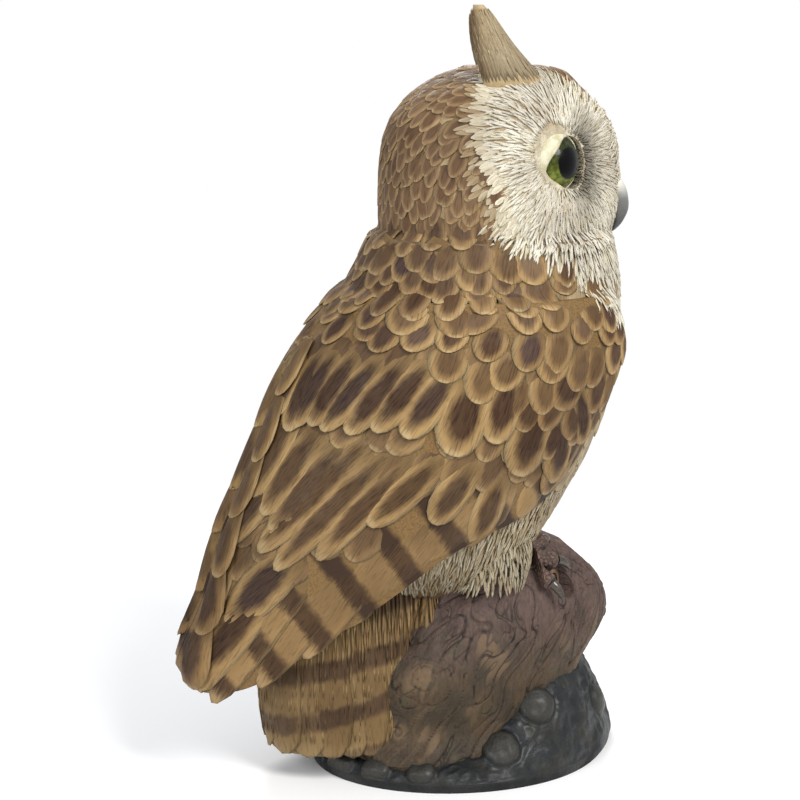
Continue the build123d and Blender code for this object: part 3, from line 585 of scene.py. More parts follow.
# %% Long wing feathers
LONG_FEATHERS = np.array([
    (-78, 138, -89, 112, 14.8, 1, 0),
    (-67, 139, -74, 115, 11.6, 1, 0),
    (-57, 130, -63, 105, 14.8, 1, 0),
    (-83, 141, -106, 118, 11.0, 1, 0),
    (-91, 143, -118, 120, 10.3, 1, 0),
    (-100, 143, -130, 119, 9.7, 1, 0),
    (-111, 143, -141, 118, 9.7, 1, 0),
    (-124, 144, -148, 119, 11, 1, 0),
    (-138, 144, -156, 118, 11.5, 1, 0),
    (-152, 143, -161, 116, 13.5, 1, 0),
    (-168, 141, -172, 119, 11, 1, 0),
    (-49, 123, -43, 99, 11.6, 1, 0),
    (-47, 132, -37, 111, 9.7, 1, 0),
    (-155, 127, -170, 96, 14.2, 0.9, 0.1),
    (-154, 108, -174, 81, 12.9, 0.9, 0.1),
    (-138, 122, -162, 92, 13, 0.9, 0.1),
    (-125, 118, -157, 86, 12, 0.9, 0.1),
    (-113, 121, -158, 83, 11.0, 0.9, 0.1),
    (-105, 117, -153, 79, 9.7, 0.9, 0.1),
    (-99, 114, -140, 82, 8.4, 0.9, 0.1),
    (-88, 113, -119, 92, 9.7, 0.9, 0.1),
    (-77, 111, -95, 92, 10.3, 0.9, 0.1),
    (-67, 107, -75, 83, 10.3, 0.9, 0.1),
    (-44, 116, -40, 98, 10.3, 0.15, 0.9),
    (-52, 111, -52, 88, 11.0, 0.15, 0.9),
    (-62, 108, -74, 82, 11.0, 0.15, 0.9),
    (-69, 106, -95, 75, 11.0, 0.15, 0.9),
    (-76, 103, -113, 68, 10.3, 0.15, 0.9),
    (-88, 101, -130, 59, 10.3, 0.15, 0.9),
    (-99, 98, -145, 50, 10.3, 0.15, 0.9),
    (-111, 92, -157, 42, 10.3, 0.15, 0.9),
    (-130, 92, -167, 35, 11.6, 0.15, 0.9),
    (-144, 85, -174, 35, 12.9, 1, 0.1),
    (-140, 85, -167, 57, 13.5, 1, 0.1),
    (-166, 85, -178, 39, 8.4, 1, 0.1),
])
OVER_SHOULDER = 13    # rows of the table
BAR_SPACING = 0.0165  # metres from bar to bar

root_turn, root_level, tip_turn, tip_level, width, streak, bars = LONG_FEATHERS.T
root_turn, tip_turn = root_turn * (math.pi / 180), tip_turn * (math.pi / 180)
root_level, tip_level, width = root_level * MM, tip_level * MM, width * MM
reach = coat.point(tip_turn, tip_level) - coat.point(root_turn, root_level)
length = np.linalg.norm(reach, axis=-1) * 1.02
FLIGHT_BARS = np.array([0, 0.81, -0.59]) / BAR_SPACING
flight = bars > 0.5
count = len(LONG_FEATHERS)
ground = blend("b99b68", "a0845a", rng.random(count) * 0.6 + 0.3 * flight)
# The marks run from red-brown paint to a purple-grey on a few feathers, which is painted sheen.
mark = blend("3d2517", "3a2927", rng.random(count) ** 2)
upper = np.arange(count) < OVER_SHOULDER
flock("long_wing_feathers", coat, root_turn, root_level, reach, length, width * 1.12, ground, mark,
      np.stack([streak, bars, 0.9 - 0.5 * bars], -1), sink=np.where(flight, 0.6, 0.3),
      lift=np.where(upper, 1.15, np.where(flight, 0.45, 0.75)), crown=np.where(flight, 0.35, 0.6),
      blunt=0.62, roll=np.where(flight, 0.35, 0.15), bend=0.03, bar=FLIGHT_BARS, wild=0.02, both=True)

# %% [markdown]
# ## Coverts and mantle
# Short round feathers cover the shoulders like fish scales, from the neck down to the long feathers.
# A softer layer of medium feathers lies under the long ones, so that no gap shows the bare casting,
# and one line of feathers closes the middle of the back, where the two wings meet.

# %% Where the shoulder ends and the wing's edge runs
def bearing(turn, front=0.0):
    """Degrees away from the front, either way."""
    return np.degrees(np.abs((turn - front + np.pi) % (2 * np.pi) - np.pi))


# Edges on the coat: degrees from the front, and height (mm).
WING_EDGE = np.array([(24, 142), (29, 124), (34, 112), (39, 101), (50, 91), (69, 85), (89, 78), (105, 69),
                      (126, 58), (142, 48), (156, 38), (170, 34), (181, 34)])
SHORT_LIMIT = np.array([(24, 138), (29, 124), (34, 113), (40, 105), (46, 112), (54, 124), (64, 134),
                        (80, 143), (120, 146), (181, 146)])
along_edge = lambda table, degrees: np.interp(degrees, *table.T) * MM
print("the wing's edge at its side, mm:", round(along_edge(WING_EDGE, 90) / MM))

# %% The layer under the long feathers
turn, level = rows(coat, np.arange(0.150, 0.036, -0.0105), 0.0105)
degrees = bearing(turn)
tilt = np.radians(np.interp(degrees, [20, 45, 90, 140, 180], [4, 18, 38, 26, 8]))
under_flight = np.interp(degrees, [40, 60, 140, 165], [15, 31, 31, 17]) * MM
keep = (level > along_edge(WING_EDGE, degrees) + under_flight) & (degrees > 30) & (turn < 0)
turn, level, tilt, count = pick(keep, turn, level, tilt)
flock("medium_wing_feathers", coat, turn, level, flow(coat, turn, level, tilt), 0.021, 0.0135,
      mottled("a3875d", "8a6f4c", count), mottled("432c1e", "43322d", count),
      scatter(count, 0.75, 0.4, 0.6), sink=0.6, lift=0.3, crown=0.3, bar=FLIGHT_BARS, wild=0.06, both=True)

# %% The line down the middle of the back, a little to the left and right by turns
count = 11
turn, level = np.radians(180 + 7 * (-1.0) ** np.arange(count)), 0.142 - 0.0085 * np.arange(count)
flock("back_line_feathers", coat, turn, level, flow(coat, turn, level, 0.0), 0.023, 0.0135,
      mottled("b0925f", "97794e", count), mottled("432c1e", "43322d", count),
      scatter(count, 0.95, 0.2, 0.8), sink=-1.3, lift=2.0, crown=0.5, blunt=0.55, wild=0.05)

# %% Short feathers of the shoulders
turn, level = rows(coat, np.arange(0.172, 0.104, -0.0068), 0.0098, 0.25)
degrees = bearing(turn)
tilt = np.radians(np.interp(degrees, [20, 45, 90, 140, 180], [0, 12, 30, 24, 6]))
keep = (level > along_edge(SHORT_LIMIT, degrees)) & (degrees > np.interp(level, [0.14, 0.172], [20, 36]))
turn, level, tilt, count = pick(keep, turn, level, tilt)
low_down = np.interp(level, [0.12, 0.168], [1, 0])
# The marks run from red-brown paint to a purple-grey on a few feathers, which is painted sheen.
flock("short_shoulder_feathers", coat, turn, level, flow(coat, turn, level, tilt), 0.0125 + 0.004 * low_down,
      0.0118 + 0.003 * low_down, mottled("b69868", "977a50", count),
      blend("3f2618", "423136", rng.random(count) ** 3), scatter(count, 1.0, 0.0, 0.9), sink=0.5, lift=0.95,
      crown=0.55, blunt=0.4, wild=0.09)

# %% [markdown]
# ## Breast, flanks and legs
# The underside is cream with a brown streak down each feather. Below the wings the feathers are fine
# and hair-like, and the legs are feathered down to the toes. Real hair curves would be rounder, but a
# four-sided bristle is a plain mesh, and thousands of them stay light.

# %% Breast
turn, level = rows(breast, np.arange(0.166, 0.064, -0.0076), 0.0098)
degrees = bearing(turn)
keep = (degrees < np.interp(level, [0.098, 0.1, 0.13, 0.165], [40, 66, 78, 100]))
turn, level, degrees, count = pick(keep, turn, level, degrees)
side_tilt = np.radians(np.interp(degrees, [0, 60, 120], [0, 14, 22]))
flock("breast_feathers", breast, turn, level, flow(breast, turn, level, side_tilt), 0.0135, 0.012,
      blend("d3c6a4", "b7a27a", rng.random(count) * np.interp(level, [0.07, 0.16], [0.5, 1])),
      mottled("6b4f33", "7d6546", count), scatter(count, 0.6, 0.15, 0.5), sink=0.5, lift=0.8, crown=0.4,
      wild=0.1)

# %% Flanks
turn, level = rows(breast, np.arange(0.108, 0.064, -0.0021), 0.0017, 0.3)
turn, level, count = pick(bearing(turn) < 140, turn, level)
flock("flank_down", breast, turn, level, flow(breast, turn, level, 0.25 + rng.normal(0, 0.14, count)), 0.0075,
      0.0010, mottled("d6cbb0", "b29c76", count), mottled("7d6546", "6b4f33", count),
      scatter(count, 0.25, 0.0, 0.4), shape=BRISTLE, sink=0.2, lift=0.7, crown=0.25, thick=0.3, blunt=0.2,
      material=pale_plumage)

# %% Legs
leg_low, leg_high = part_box("right_leg")
leg_middle = ((leg_low[0] + leg_high[0]) / 2, (leg_low[1] + leg_high[1]) / 2, 0)
leg = Skin(["right_leg"], leg_middle, leg_low[2] + 0.3 * MM, leg_high[2] - 0.3 * MM, turns=90, levels=40)
turn, level = rows(leg, np.arange(leg_high[2] - 0.001, 0.064, -0.0019), 0.0015, 0.3)
count = len(turn)
leg_down = flock("leg_down", leg, turn, level, flow(leg, turn, level, rng.normal(0, 0.15, count)), 0.0050,
                 0.0010, mottled("cdc2a6", "a9977a", count), mottled("7d6546", "6b4f33", count),
                 scatter(count, 0.2, 0.0, 0.4), shape=BRISTLE, sink=0.2, lift=0.35, crown=0.25, thick=0.3,
                 blunt=0.2, both=True, material=pale_plumage)
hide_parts("right_leg", "left_leg")

# %% [markdown]
# ## Tail
# Long barred feathers run down the tail, each tucked under the next, and fine barbs cover them, because
# the carver cut the tail's barbs deeper than those of the wings.

# %% Tail feathers
tail_turns = np.radians(np.arange(-180, 180, 15))
count = len(tail_turns)
tail_level = np.full(count, tail_high[2] - 4 * MM)
straight = np.tile([0.0, 0, -1], (count, 1))
TAIL_BARS = np.array([0, 0.25, 1]) / BAR_SPACING
flock("tail_feathers", tail, tail_turns, tail_level, straight, tail_level[0] - tail_low[2] + 0.3 * MM, 0.0125,
      mottled("a08a60", "8f774f", count), mottled("4b3826", "5b4636", count),
      scatter(count, 0.1, 1.0, 0.35), sink=0.2, lift=1.0 + 0.3 * (np.arange(count) % 2), crown=0.6,
      blunt=0.8, roll=0.4, bar=TAIL_BARS)

# %% Tail barbs
turn, level = rows(tail, np.arange(tail_high[2] - 0.001, 0.026, -0.0050), 0.0015, 0.3)
count = len(turn)
flock("tail_barbs", tail, turn, level, flow(tail, turn, level, rng.normal(0, 0.04, count)), 0.0165, 0.0011,
      mottled("b9a276", "96794d", count), mottled("4b3826", "5b4636", count),
      scatter(count, 0.0, 1.0, 0.2), shape=BRISTLE, sink=0.3, lift=1.5, crown=0.25, thick=0.4, blunt=0.2,
      bar=TAIL_BARS)

# %% [markdown]
# ## Head
# The head is turned over the right shoulder, so its places are given about its own front. The pale disc
# of the face ends at a rim behind the cheeks and at two brows that run from the ear tufts to the beak.
# Behind the rim and above the brows the head is brown with dark spots.

# %% Places on the turned head
face_turn = -head_turn
# The rim: height (metres) and degrees from the middle of the face. The brow: degrees and height (mm).
RIM = np.array([(0.140, 26), (0.158, 36), (0.167, 50), (0.173, 70), (0.180, 86), (0.188, 91), (0.197, 94),
                (0.210, 99), (0.219, 98), (0.226, 92)])
BROW = np.array([(0, 207), (14, 210), (30, 214), (46, 218), (66, 223), (90, 228)])
HEAD_Y = -5.5  # mm: the head turns about an upright line here
head_ball = np.array([0, HEAD_Y * MM, 186 * MM])


def head_place(x, y, z):
    """A place on the head, given in mm with the face looking along -Y, turned as the head is."""
    return np.array([x * math.cos(head_turn) + y * math.sin(head_turn),
                     y * math.cos(head_turn) - x * math.sin(head_turn) + HEAD_Y, z]) * MM


def disc_edge(skin, turn, level):
    """Degrees inside the rim, and mm below the brow, for places on a skin."""
    height = skin.point(turn, level)[:, 2]
    off = bearing(turn, face_turn)
    return np.interp(height, *RIM.T) - off, np.interp(off, *BROW.T) - height / MM


print("35 mm ahead of the head's middle is, mm:", np.round(head_place(0, -35, 186) / MM, 1))

# %% Crown and nape
turn, level = rows(scalp, np.radians(np.arange(86, -18, -5.6)), 0.0050, 0.3)
inside, below = disc_edge(scalp, turn, level)
keep = ((inside < -2) | (below < -1.5)) & (level > math.radians(-18))
turn, level, count = pick(keep, turn, level)
over_crown = np.interp(level, np.radians([18, 48]), [0.12, 1])
tilt = (np.pi - np.radians(bearing(turn, face_turn))) * over_crown
flock("crown_and_nape_feathers", scalp, turn, level, flow(scalp, turn, level, tilt, face_turn), 0.0098,
      0.0066, mottled("a98c66", "8f7454", count), mottled("573a26", "5d4737", count),
      scatter(count, 0.9, 0.0, 0.9), sink=0.4, lift=0.75, crown=0.35, blunt=0.3, wild=0.12)

# %% Neck
turn, level = rows(nape, np.arange(0.182, 0.163, -0.0062), 0.0086)
keep = bearing(turn, face_turn) > np.interp(level, [0.16, 0.173, 0.182], [60, 84, 96])
turn, level, count = pick(keep, turn, level)
flock("neck_feathers", nape, turn, level, flow(nape, turn, level, 0.1), 0.0125, 0.0100,
      mottled("ab8e63", "8d7350", count), mottled("472f20", "533f33", count),
      scatter(count, 1.0, 0.0, 0.9), sink=0.4, lift=1.0, crown=0.5, blunt=0.4, wild=0.09)

# %% [markdown]
# ## Face
# The face is combed: thousands of bristles point away from the nearer eye. Those between the eye and
# the beak are charcoal, and those along the brow stand higher. Each bristle is aimed on its own, so
# one rule makes the whole disc, where a combed hair system would have to be brushed by hand.

# %% Where the eyes are, and how far anything is from them
SPLAY = math.radians(42)     # how far each eye looks aside
EYE_AT = (24.2, -17.2, 196.5)  # mm, before the head's turn
EYE_OUT = np.array([[side * math.sin(SPLAY), -math.cos(SPLAY), 0] for side in (-1, 1)])
EYES = np.stack([head_place(side * EYE_AT[0], *EYE_AT[1:]) for side in (-1, 1)])
EYE_AXES = np.stack([(head_place(*out) - head_place(0, 0, 0)) / MM for out in EYE_OUT])


def nearest_eye(points):
    """Vector from the nearer eye to each point, which side it is on, and the distance in mm."""
    away = points[:, None] - EYES[None]
    distance = np.linalg.norm(away, axis=-1)
    side = distance.argmin(1)
    index = np.arange(len(points))
    return away[index, side], side, distance[index, side] / MM


def lid_share(angle):
    """How far the upper lid is drawn over the eye, for angles from straight up towards the ear."""
    return np.clip(np.cos(angle - math.radians(46)), 0, 1) ** 2.2


print("eyes at, mm:", *np.round(EYES / MM, 1))

# %% How far the brow and the beak's root stand above the smoothed skin
head_tree = tree_of("head_shell")
PROBE = 6  # mm: a ray starts this far above the skin and goes twice as deep


def stand_off(points, normals):
    """How far the casting stands above the smoothed skin at each place (mm)."""
    probes = [head_tree.ray_cast(Vector(point + normal * PROBE * MM), Vector(-normal), 2 * PROBE * MM)[3]
              for point, normal in zip(points, normals)]
    return np.clip([PROBE - reach / MM if reach is not None else 0.0 for reach in probes], -0.5, 4.0)


forehead = np.full(1, face_turn), np.full(1, 0.6)
print("stand-off on the forehead, mm:", stand_off(scalp.point(*forehead), scalp.normal(*forehead)).round(2))


# %% Bristles that point away from the nearer eye
def bristles(name, skin, levels, gap, wanted, length, width, height, wildness):
    """Bristles inside the rim and below the brow, clear of the eye, where wanted(below, points) says so."""
    turn, level = rows(skin, levels, gap, jitter=0.35)
    inside, below = disc_edge(skin, turn, level)
    points = skin.point(turn, level)
    away, side, distance = nearest_eye(points)
    out = np.cross([0, 0, 1.0], EYE_AXES[side]) * np.where(side == 0, -1, 1)[:, None]
    around = np.arctan2((away * out).sum(-1), away[:, 2])
    clear = 8.3 + 4.6 * lid_share(around)
    keep = (inside > 0) & (below > -1.8) & (distance > clear) & wanted(below, points)
    turn, level, inside, below, away, distance, points, side, count = pick(
        keep, turn, level, inside, below, away, distance, points, side)
    normal = skin.normal(turn, level)
    # Away from the eye, drooping further out, with some disorder, and flat on the skin.
    straight = away / np.linalg.norm(away, axis=-1, keepdims=True)
    aim = straight + [0, 0, -0.12]
    aim = aim + np.interp(distance, [26, 42], [0, 1.0])[:, None] * np.array([0, 0, -1.0])
    aim = aim + rng.normal(0, wildness, (count, 3))
    aim -= (aim * normal).sum(-1, keepdims=True) * normal
    # Charcoal between the eye and the beak, and tan towards the rim and the brow.
    inward = (straight * np.cross([0, 0, 1.0], EYE_AXES[side]) * np.where(side == 0, 1, -1)[:, None]).sum(-1)
    charcoal = np.clip(1.15 - (distance - 8) / 8.5, 0, 1) * np.clip(inward * 1.6 - 0.1, 0, 1)
    rim_tan = np.clip(1 - np.minimum(inside / 9, below / 3), 0, 1) * 0.35
    ground = blend("e8e2d0", "cdc1a2", np.clip(rng.random(count) ** 1.6 * 0.9 + rim_tan, 0, 1))
    ground = (ground * (1 - charcoal[:, None] * 0.92)
              + np.array(paint_colour("35312b")) * charcoal[:, None] * 0.92)
    risen = stand_off(points, normal) if skin is scalp else np.zeros(count)
    return flock(name, skin, turn, level, aim, length * rng.uniform(0.75, 1.15, count), width, ground,
                 mottled("a8946c", "7a6647", count), scatter(count, 0.25, 0.0, 0.25), shape=BRISTLE,
                 sink=-0.1 - risen, lift=risen + height * rng.uniform(0.6, 1.3, count), crown=0.3, thick=0.3,
                 blunt=0.1, bend=rng.normal(0, 0.08, count), material=pale_plumage, slot="painted_resin_face")


bristles("lash_bristles", scalp, np.radians(np.arange(45, -4, -1.3)), 0.0009,
         lambda below, points: nearest_eye(points)[2] < 14, 0.0034, 0.0008, 0.35, 0.1)
bristles("face_bristles", scalp, np.radians(np.arange(58, -17, -1.7)), 0.00125,
         lambda below, points: below < np.inf, 0.0056, 0.0009, 0.45, 0.12)
bristles("brow_bristles", scalp, np.radians(np.arange(66, 8, -1.7)), 0.0013,
         lambda below, points: below < 9, 0.0080, 0.0010, 1.2, 0.08)
bristles("throat_bristles", nape, np.arange(0.184, 0.150, -0.0015), 0.0014,
         lambda below, points: points[:, 2] < 0.182, 0.0072, 0.0011, 0.9, 0.2)

# %% Small feathers along the rim of the disc
turn, level = rows(scalp, np.radians(np.arange(50, -18, -2.6)), 0.0021, 0.3)
inside, below = disc_edge(scalp, turn, level)
keep = (inside > -8) & (inside < 4) & (below > -3)
turn, level, inside, count = pick(keep, turn, level, inside)
tilt = np.interp(level, np.radians([-18, 15, 50]), np.radians([20, 55, 110]))
flock("disc_rim_feathers", scalp, turn, level, flow(scalp, turn, level, tilt, face_turn), 0.0058, 0.0020,
      blend("ddd4b8", "a08660", np.clip((3 - inside) / 10 + rng.normal(0, 0.15, count), 0, 1)),
      mottled("7a6244", "5d4939", count), scatter(count, 0.3, 0.0, 0.6), sink=0.3, lift=0.9, crown=0.3,
      blunt=0.25, wild=0.16, material=pale_plumage)

# %% [markdown]
# ## Ear tufts
# Each tuft is a bundle of long narrow feathers that lean together to a point. The tuft's casting leans,
# so its skin measures from an axis that leans as well: from the middle of its foot to its tip.

# %% Ear tufts
for label in ("right", "left"):
    low, high = (np.array(corner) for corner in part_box(label + "_ear_tuft"))
    corners = np.array([corner.co for corner in nodes[label + "_ear_tuft"].data.vertices])
    foot = corners[corners[:, 2] < low[2] + 7 * MM].mean(0)
    tip = corners[corners[:, 2] > high[2] - 2 * MM].mean(0)
    lean = (tip - foot)[:2] / (tip - foot)[2]
    start = foot[:2] - lean * (foot[2] - low[2])
    tuft = Skin([label + "_ear_tuft"], (*start, 0), low[2] + 0.4 * MM, high[2] - 0.3 * MM, turns=120,
                levels=60, smooth=1, lean=lean)
    print(label, "tuft leans", np.round(lean, 2))
    turn, level = rows(tuft, np.arange(low[2] + 1 * MM, high[2] - 6 * MM, 1.5 * MM), 0.0012, 0.3)
    count = len(turn)
    up = np.array([*lean, 1.0]) + rng.normal(0, 0.05, (count, 3))
    share = (level - low[2]) / (high[2] - low[2])
    back = np.clip(tuft.normal(turn, level)[:, 1], 0, 1)
    ground = blend("beb294", "937b57", share * 0.45 + back * 0.6 + rng.random(count) * 0.25 - 0.1)
    room = np.minimum(11 * MM, high[2] - level - 0.3 * MM)
    marks = np.stack([0.1 + 0.75 * back, 0 * back, 0.3 + 0 * back], -1)
    flock(label + "_tuft_feathers", tuft, turn, level, up, room, 0.0015 - 0.0005 * share, ground,
          mottled("6b533a", "5b4636", count), marks, shape=BRISTLE, sink=0.2, lift=0.35, crown=0.25,
          thick=0.3, blunt=0.2)

# %% [markdown]
# ## Beak
# The beak is two horns. Each is a loft: rings are carried along a bent path, and every ring stands square
# to the path. The table of rings is smoothed, so a few rows are enough. The upper one has a faint ridge.

# %% Horn paint
def horn_material():
    """Beak and claws: pale at the root, dark at the tip, with fine growth lines."""
    paint = Paint("horn paint", Roughness=0.3, Coat_Weight=0.35, Coat_Roughness=0.12)
    place = paint.place()
    height = paint.height_mm(place)
    stretched = paint.node("ShaderNodeMapping", None, {"Vector": place, "Scale": (0.6, 0.6, 4)}, "Vector")
    lines = paint.noise(stretched, 420.0)
    level = height + lines * 1.6
    pale = paint.mix(level.ramp(184, 191), paint_colour("6a6966"), paint_colour("dcdace"))
    beak = paint.mix(level.ramp(174, 184), paint_colour("151515"), pale)
    claw = paint.mix(lines.ramp(0.3, 0.7), paint_colour("2f2822"), paint_colour("4a4036"))
    paint.feed(Base_Color=paint.mix(height.ramp(118, 122), claw, beak))
    paint.bump(lines, 0.25, 0.15 * MM)
    return paint.material


# %% Upper and lower beak
horn = horn_material()
# Upper and lower beak: how far forward, height, half width and half depth (mm) of each ring.
UPPER_BEAK = np.array([(27, 193.5, 4.4, 3.8), (32.4, 190.5, 4.8, 4.2), (36, 186, 4.5, 4.1),
                       (37.5, 181, 3.5, 3.4), (36.8, 176.8, 2.1, 2.0), (35.4, 174.2, 1.0, 1.0),
                       (34.8, 173.4, 0.4, 0.4)])
LOWER_BEAK = np.array([(26, 180, 3.4, 2.4), (30, 177.4, 3.0, 2.0), (33, 175.4, 1.7, 1.2),
                       (34.2, 174.6, 0.5, 0.4)])
for name, stations in (("upper_beak", UPPER_BEAK), ("lower_beak", LOWER_BEAK)):
    knots, steps = np.arange(len(stations)), np.linspace(0, len(stations) - 1, 60)
    rings = np.stack([np.interp(steps, knots, column) for column in stations.T], -1)
    for _ in range(12):
        rings[1:-1] = (rings[:-2] + 2 * rings[1:-1] + rings[2:]) / 4
    forward, height, half_width, half_depth = rings.T[:, :, None]
    path = np.gradient(np.stack([-forward[:, 0], height[:, 0]], -1), axis=0)
    path /= np.linalg.norm(path, axis=-1, keepdims=True)
    angle = np.linspace(0, 2 * np.pi, 72, endpoint=False)[None]
    ridge = 1 + 0.10 * np.clip(np.cos(angle), 0, 1) ** 6
    rise = half_depth * np.cos(angle) * ridge
    places = head_place(half_width * np.sin(angle), -forward - path[:, 1:] * rise,
                        height + path[:, :1] * rise)
    beak = closed_skin(name + "_horn", np.moveaxis(places, 0, -1), horn, {}, "horn")
    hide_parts(name)

# %% [markdown]
# ## Eyes
# The eye is a dome of clear glass painted on the back. From outside the paint seems to lie on the dome,
# so it is put there: its colour depends on the angle from the eye's axis, under a coat like clear glass.
# Real glass over a painted disc would look the same, but it renders slowly, and a bake would lose it.

# %% Eye paint and the dome
BALL = 9.72     # mm: radius of the ball that the dome is a cap of
BALL_IN = 5.52  # mm: how far the ball's centre lies behind the eye's place
LID_OFF = 0.13  # mm: the lid's mid surface lies this far off the dome, and further where it is drawn over


def eye_material(label, centre, axis):
    """Rings of colour by the angle from the axis, as seen from the ball's centre."""
    paint = Paint(label + " eye paint", Roughness=0.3, Specular_IOR_Level=0.1, Coat_Weight=0.7,
                  Coat_Roughness=0.02, Coat_IOR=1.2)
    place = paint.place()
    aim = paint.vector_math("NORMALIZE", paint.vector_math("SUBTRACT", place, tuple(centre)))
    slant = paint.vector_math("DOT_PRODUCT", aim, tuple(axis), output="Value")
    angle = paint.node("ShaderNodeMath", {"operation": "ARCCOSINE"}, [slant]) * (180 / math.pi)
    # A mottled green iris with painted shade over its upper part, under the lid, inside a dark ring; the
    # pupil is the middle 31 degrees.
    spokes = paint.noise(place, 700.0, detail=4.0)
    low = paint.split(aim)[2].ramp(-0.5, 0.35, 1, 0)
    # Painted shade: the upper part of the iris, under the lid, is dimmer than the lower.
    shaded_iris = paint.mix(spokes.ramp(0.35, 0.65), paint_colour("1b1f0c"), paint_colour("343a17"))
    bright = paint.mix(spokes.ramp(0.35, 0.65), paint_colour("4b5220"), paint_colour("77802f"))
    green = paint.mix(low, shaded_iris, bright)
    ringed = paint.mix((angle + spokes * 4).ramp(50, 58), green, paint_colour("10120a"))
    pupil = paint.mix((angle + spokes * 1.5).ramp(29, 33, 1, 0), ringed, paint_colour("030303"))
    paint.feed(Base_Color=pupil)
    return paint.material


def eye_dome(label, eye, axis):
    """A closed cap of a ball: rings at even angles from the axis, and a flat back."""
    turn = np.linspace(0, 2 * np.pi, 96, endpoint=False)
    turn, polar = np.meshgrid(turn, np.radians(np.linspace(62, 1, 40)))
    up, side = np.array([0, 0, 1.0]), np.cross([0, 0, 1.0], axis)
    ring = np.cos(turn)[..., None] * up + np.sin(turn)[..., None] * side
    centre = eye - axis * BALL_IN * MM
    points = centre + BALL * MM * (axis * np.cos(polar)[..., None] + ring * np.sin(polar)[..., None])
    dome = closed_skin(label + "_eye", points, eye_material(label, centre, axis), {}, "eye_glass")
    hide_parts(label + "_eye_glass", label + "_iris")


# %% Lids
def lid_material():
    """Pale, slightly creased skin."""
    paint = Paint("lid paint", Roughness=0.5)
    place = paint.place()
    blotch = paint.noise(place, 420.0, detail=4.0)
    crease = paint.noise(place, 1700.0, detail=3.0)
    paint.feed(Base_Color=paint.mix(blotch.ramp(0.3, 0.7), paint_colour("d5d0b6"), paint_colour("b5ad88")))
    paint.bump(crease, 0.35, 0.2 * MM)
    return paint.material


def lid_ring(label, eye, axis, outer_side):
    """A closed lid: for each angle round the eye, a thin loop on a ball from the lid's edge to its outer
    skirt. The edge comes furthest over the glass above and behind, like a half-closed lid."""
    turns, steps = 96, 14
    angle = np.linspace(0, 2 * np.pi, turns, endpoint=False)[:, None]
    up, out = np.array([0, 0, 1.0]), np.cross([0, 0, 1.0], axis) * outer_side
    lid = lid_share(angle)
    edge = np.radians(57.5 - 19 * lid)
    skirt = np.radians(64 + 27 * lid)
    loop = np.linspace(0, 2 * np.pi, steps, endpoint=False)[None]
    polar = (edge + skirt) / 2 - (skirt - edge) / 2 * np.cos(loop)
    ball = BALL + LID_OFF + (0.35 + 0.75 * lid) * np.sin(loop) + 0.35 * lid
    centre = eye - axis * BALL_IN * MM
    ring = np.cos(angle)[..., None] * up + np.sin(angle)[..., None] * out
    aims = axis * np.cos(polar)[..., None] + ring * np.sin(polar)[..., None]
    points = centre + ball[..., None] * MM * aims
    index = np.arange(turns * steps).reshape(turns, steps)
    across, onward = np.roll(index, -1, 1), np.roll(index, -1, 0)
    quads = np.stack([index, onward, np.roll(onward, -1, 1), across], -1).reshape(-1, 4)
    if outer_side > 0:
        quads = quads[:, ::-1]
    return mesh_piece(label + "_eyelids", points.reshape(-1, 3), [quads], lid_material(),
                      slot="painted_resin_face")


for label, eye, axis, outer_side in zip(("right", "left"), EYES, EYE_AXES, (-1, 1)):
    eye_dome(label, eye, axis)
    lid_ring(label, eye, axis, outer_side)

# %% [markdown]
# ## The stump
# Bark is ridges that run up the stump and swirl round knots. The height of the ridges is a sum of many
# sine waves of random direction, stretched along the grain. Round a knot the grain turns into rings.
# The same height is kept as a colour attribute, for painted shade in the cracks and a painted highlight
# on the ridges. A displacement map could do this too, but the sensor's hole has to meet the casting to a
# fraction of a millimetre.

# %% Waves
def waves(places, size, stretch=(1, 1, 1), count=28, seed=1):
    """Sum of sine waves of about the given size in metres, from -1 to 1, over places (..., 3)."""
    chance = np.random.default_rng(seed)
    aim = chance.normal(size=(count, 3))
    lengths = np.linalg.norm(aim, axis=1, keepdims=True)
    aim *= (chance.uniform(0.6, 1.5, (count, 1)) / lengths) / np.array(stretch)
    phase = chance.uniform(0, 2 * np.pi, count)
    total = 0
    for one, start in zip(aim, phase):
        total = total + np.sin(places @ one * (2 * np.pi / size) + start)
    return total / math.sqrt(count) / 1.6


print("waves at one place:", round(float(waves(np.zeros(3), 0.02)), 2))

# %% Grain and cracks of the bark
# Knots in the wood: place (mm), radius of the swirl (mm), how far it stands out (mm).
KNOTS = np.array([(-30, 32, 37, 13, 1.6), (-27, -18, 26, 8, 0.9), (-20, 34, 17, 9, 1.2),
                  (28, 10, 40, 10, 1.2), (20, -32, 30, 9, 1.0), (-10, -42, 44, 7, 0.8)])
stump_low, stump_high = (np.array(corner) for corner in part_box("tree_stump"))
trunk = Skin(["tree_stump"], (0, 0.0, 0), stump_low[2] + 1.2 * MM, stump_high[2] - 0.6 * MM, smooth=1)
turn, level = np.meshgrid(np.linspace(-np.pi, np.pi, 520, endpoint=False),
                          np.linspace(trunk.low, trunk.high, 250))
surface, outward = trunk.point(turn, level), trunk.normal(turn, level)
warp = np.stack([waves(surface, 0.020, seed=2), waves(surface, 0.022, seed=3), 0 * turn], -1) * 3.0 * MM
lean = math.radians(28)  # the grain leans back this far
x, y, z = np.moveaxis(surface + warp, -1, 0)
grain_place = np.stack([x, y * math.cos(lean) + z * math.sin(lean),
                        z * math.cos(lean) - y * math.sin(lean)], -1)
crack = np.exp(-(waves(grain_place, 0.0085, (1, 1, 6), seed=4) / 0.05) ** 2)
fine = np.exp(-(waves(grain_place, 0.0036, (1, 1, 6), count=34, seed=5) / 0.10) ** 2)
grain = waves(grain_place, 0.0050, (1, 1, 7), seed=9)
lumps = waves(surface, 0.019, (1, 1, 1.6), seed=6)
height = 0.40 * grain + 0.9 * lumps - 0.8 * crack - 0.35 * fine
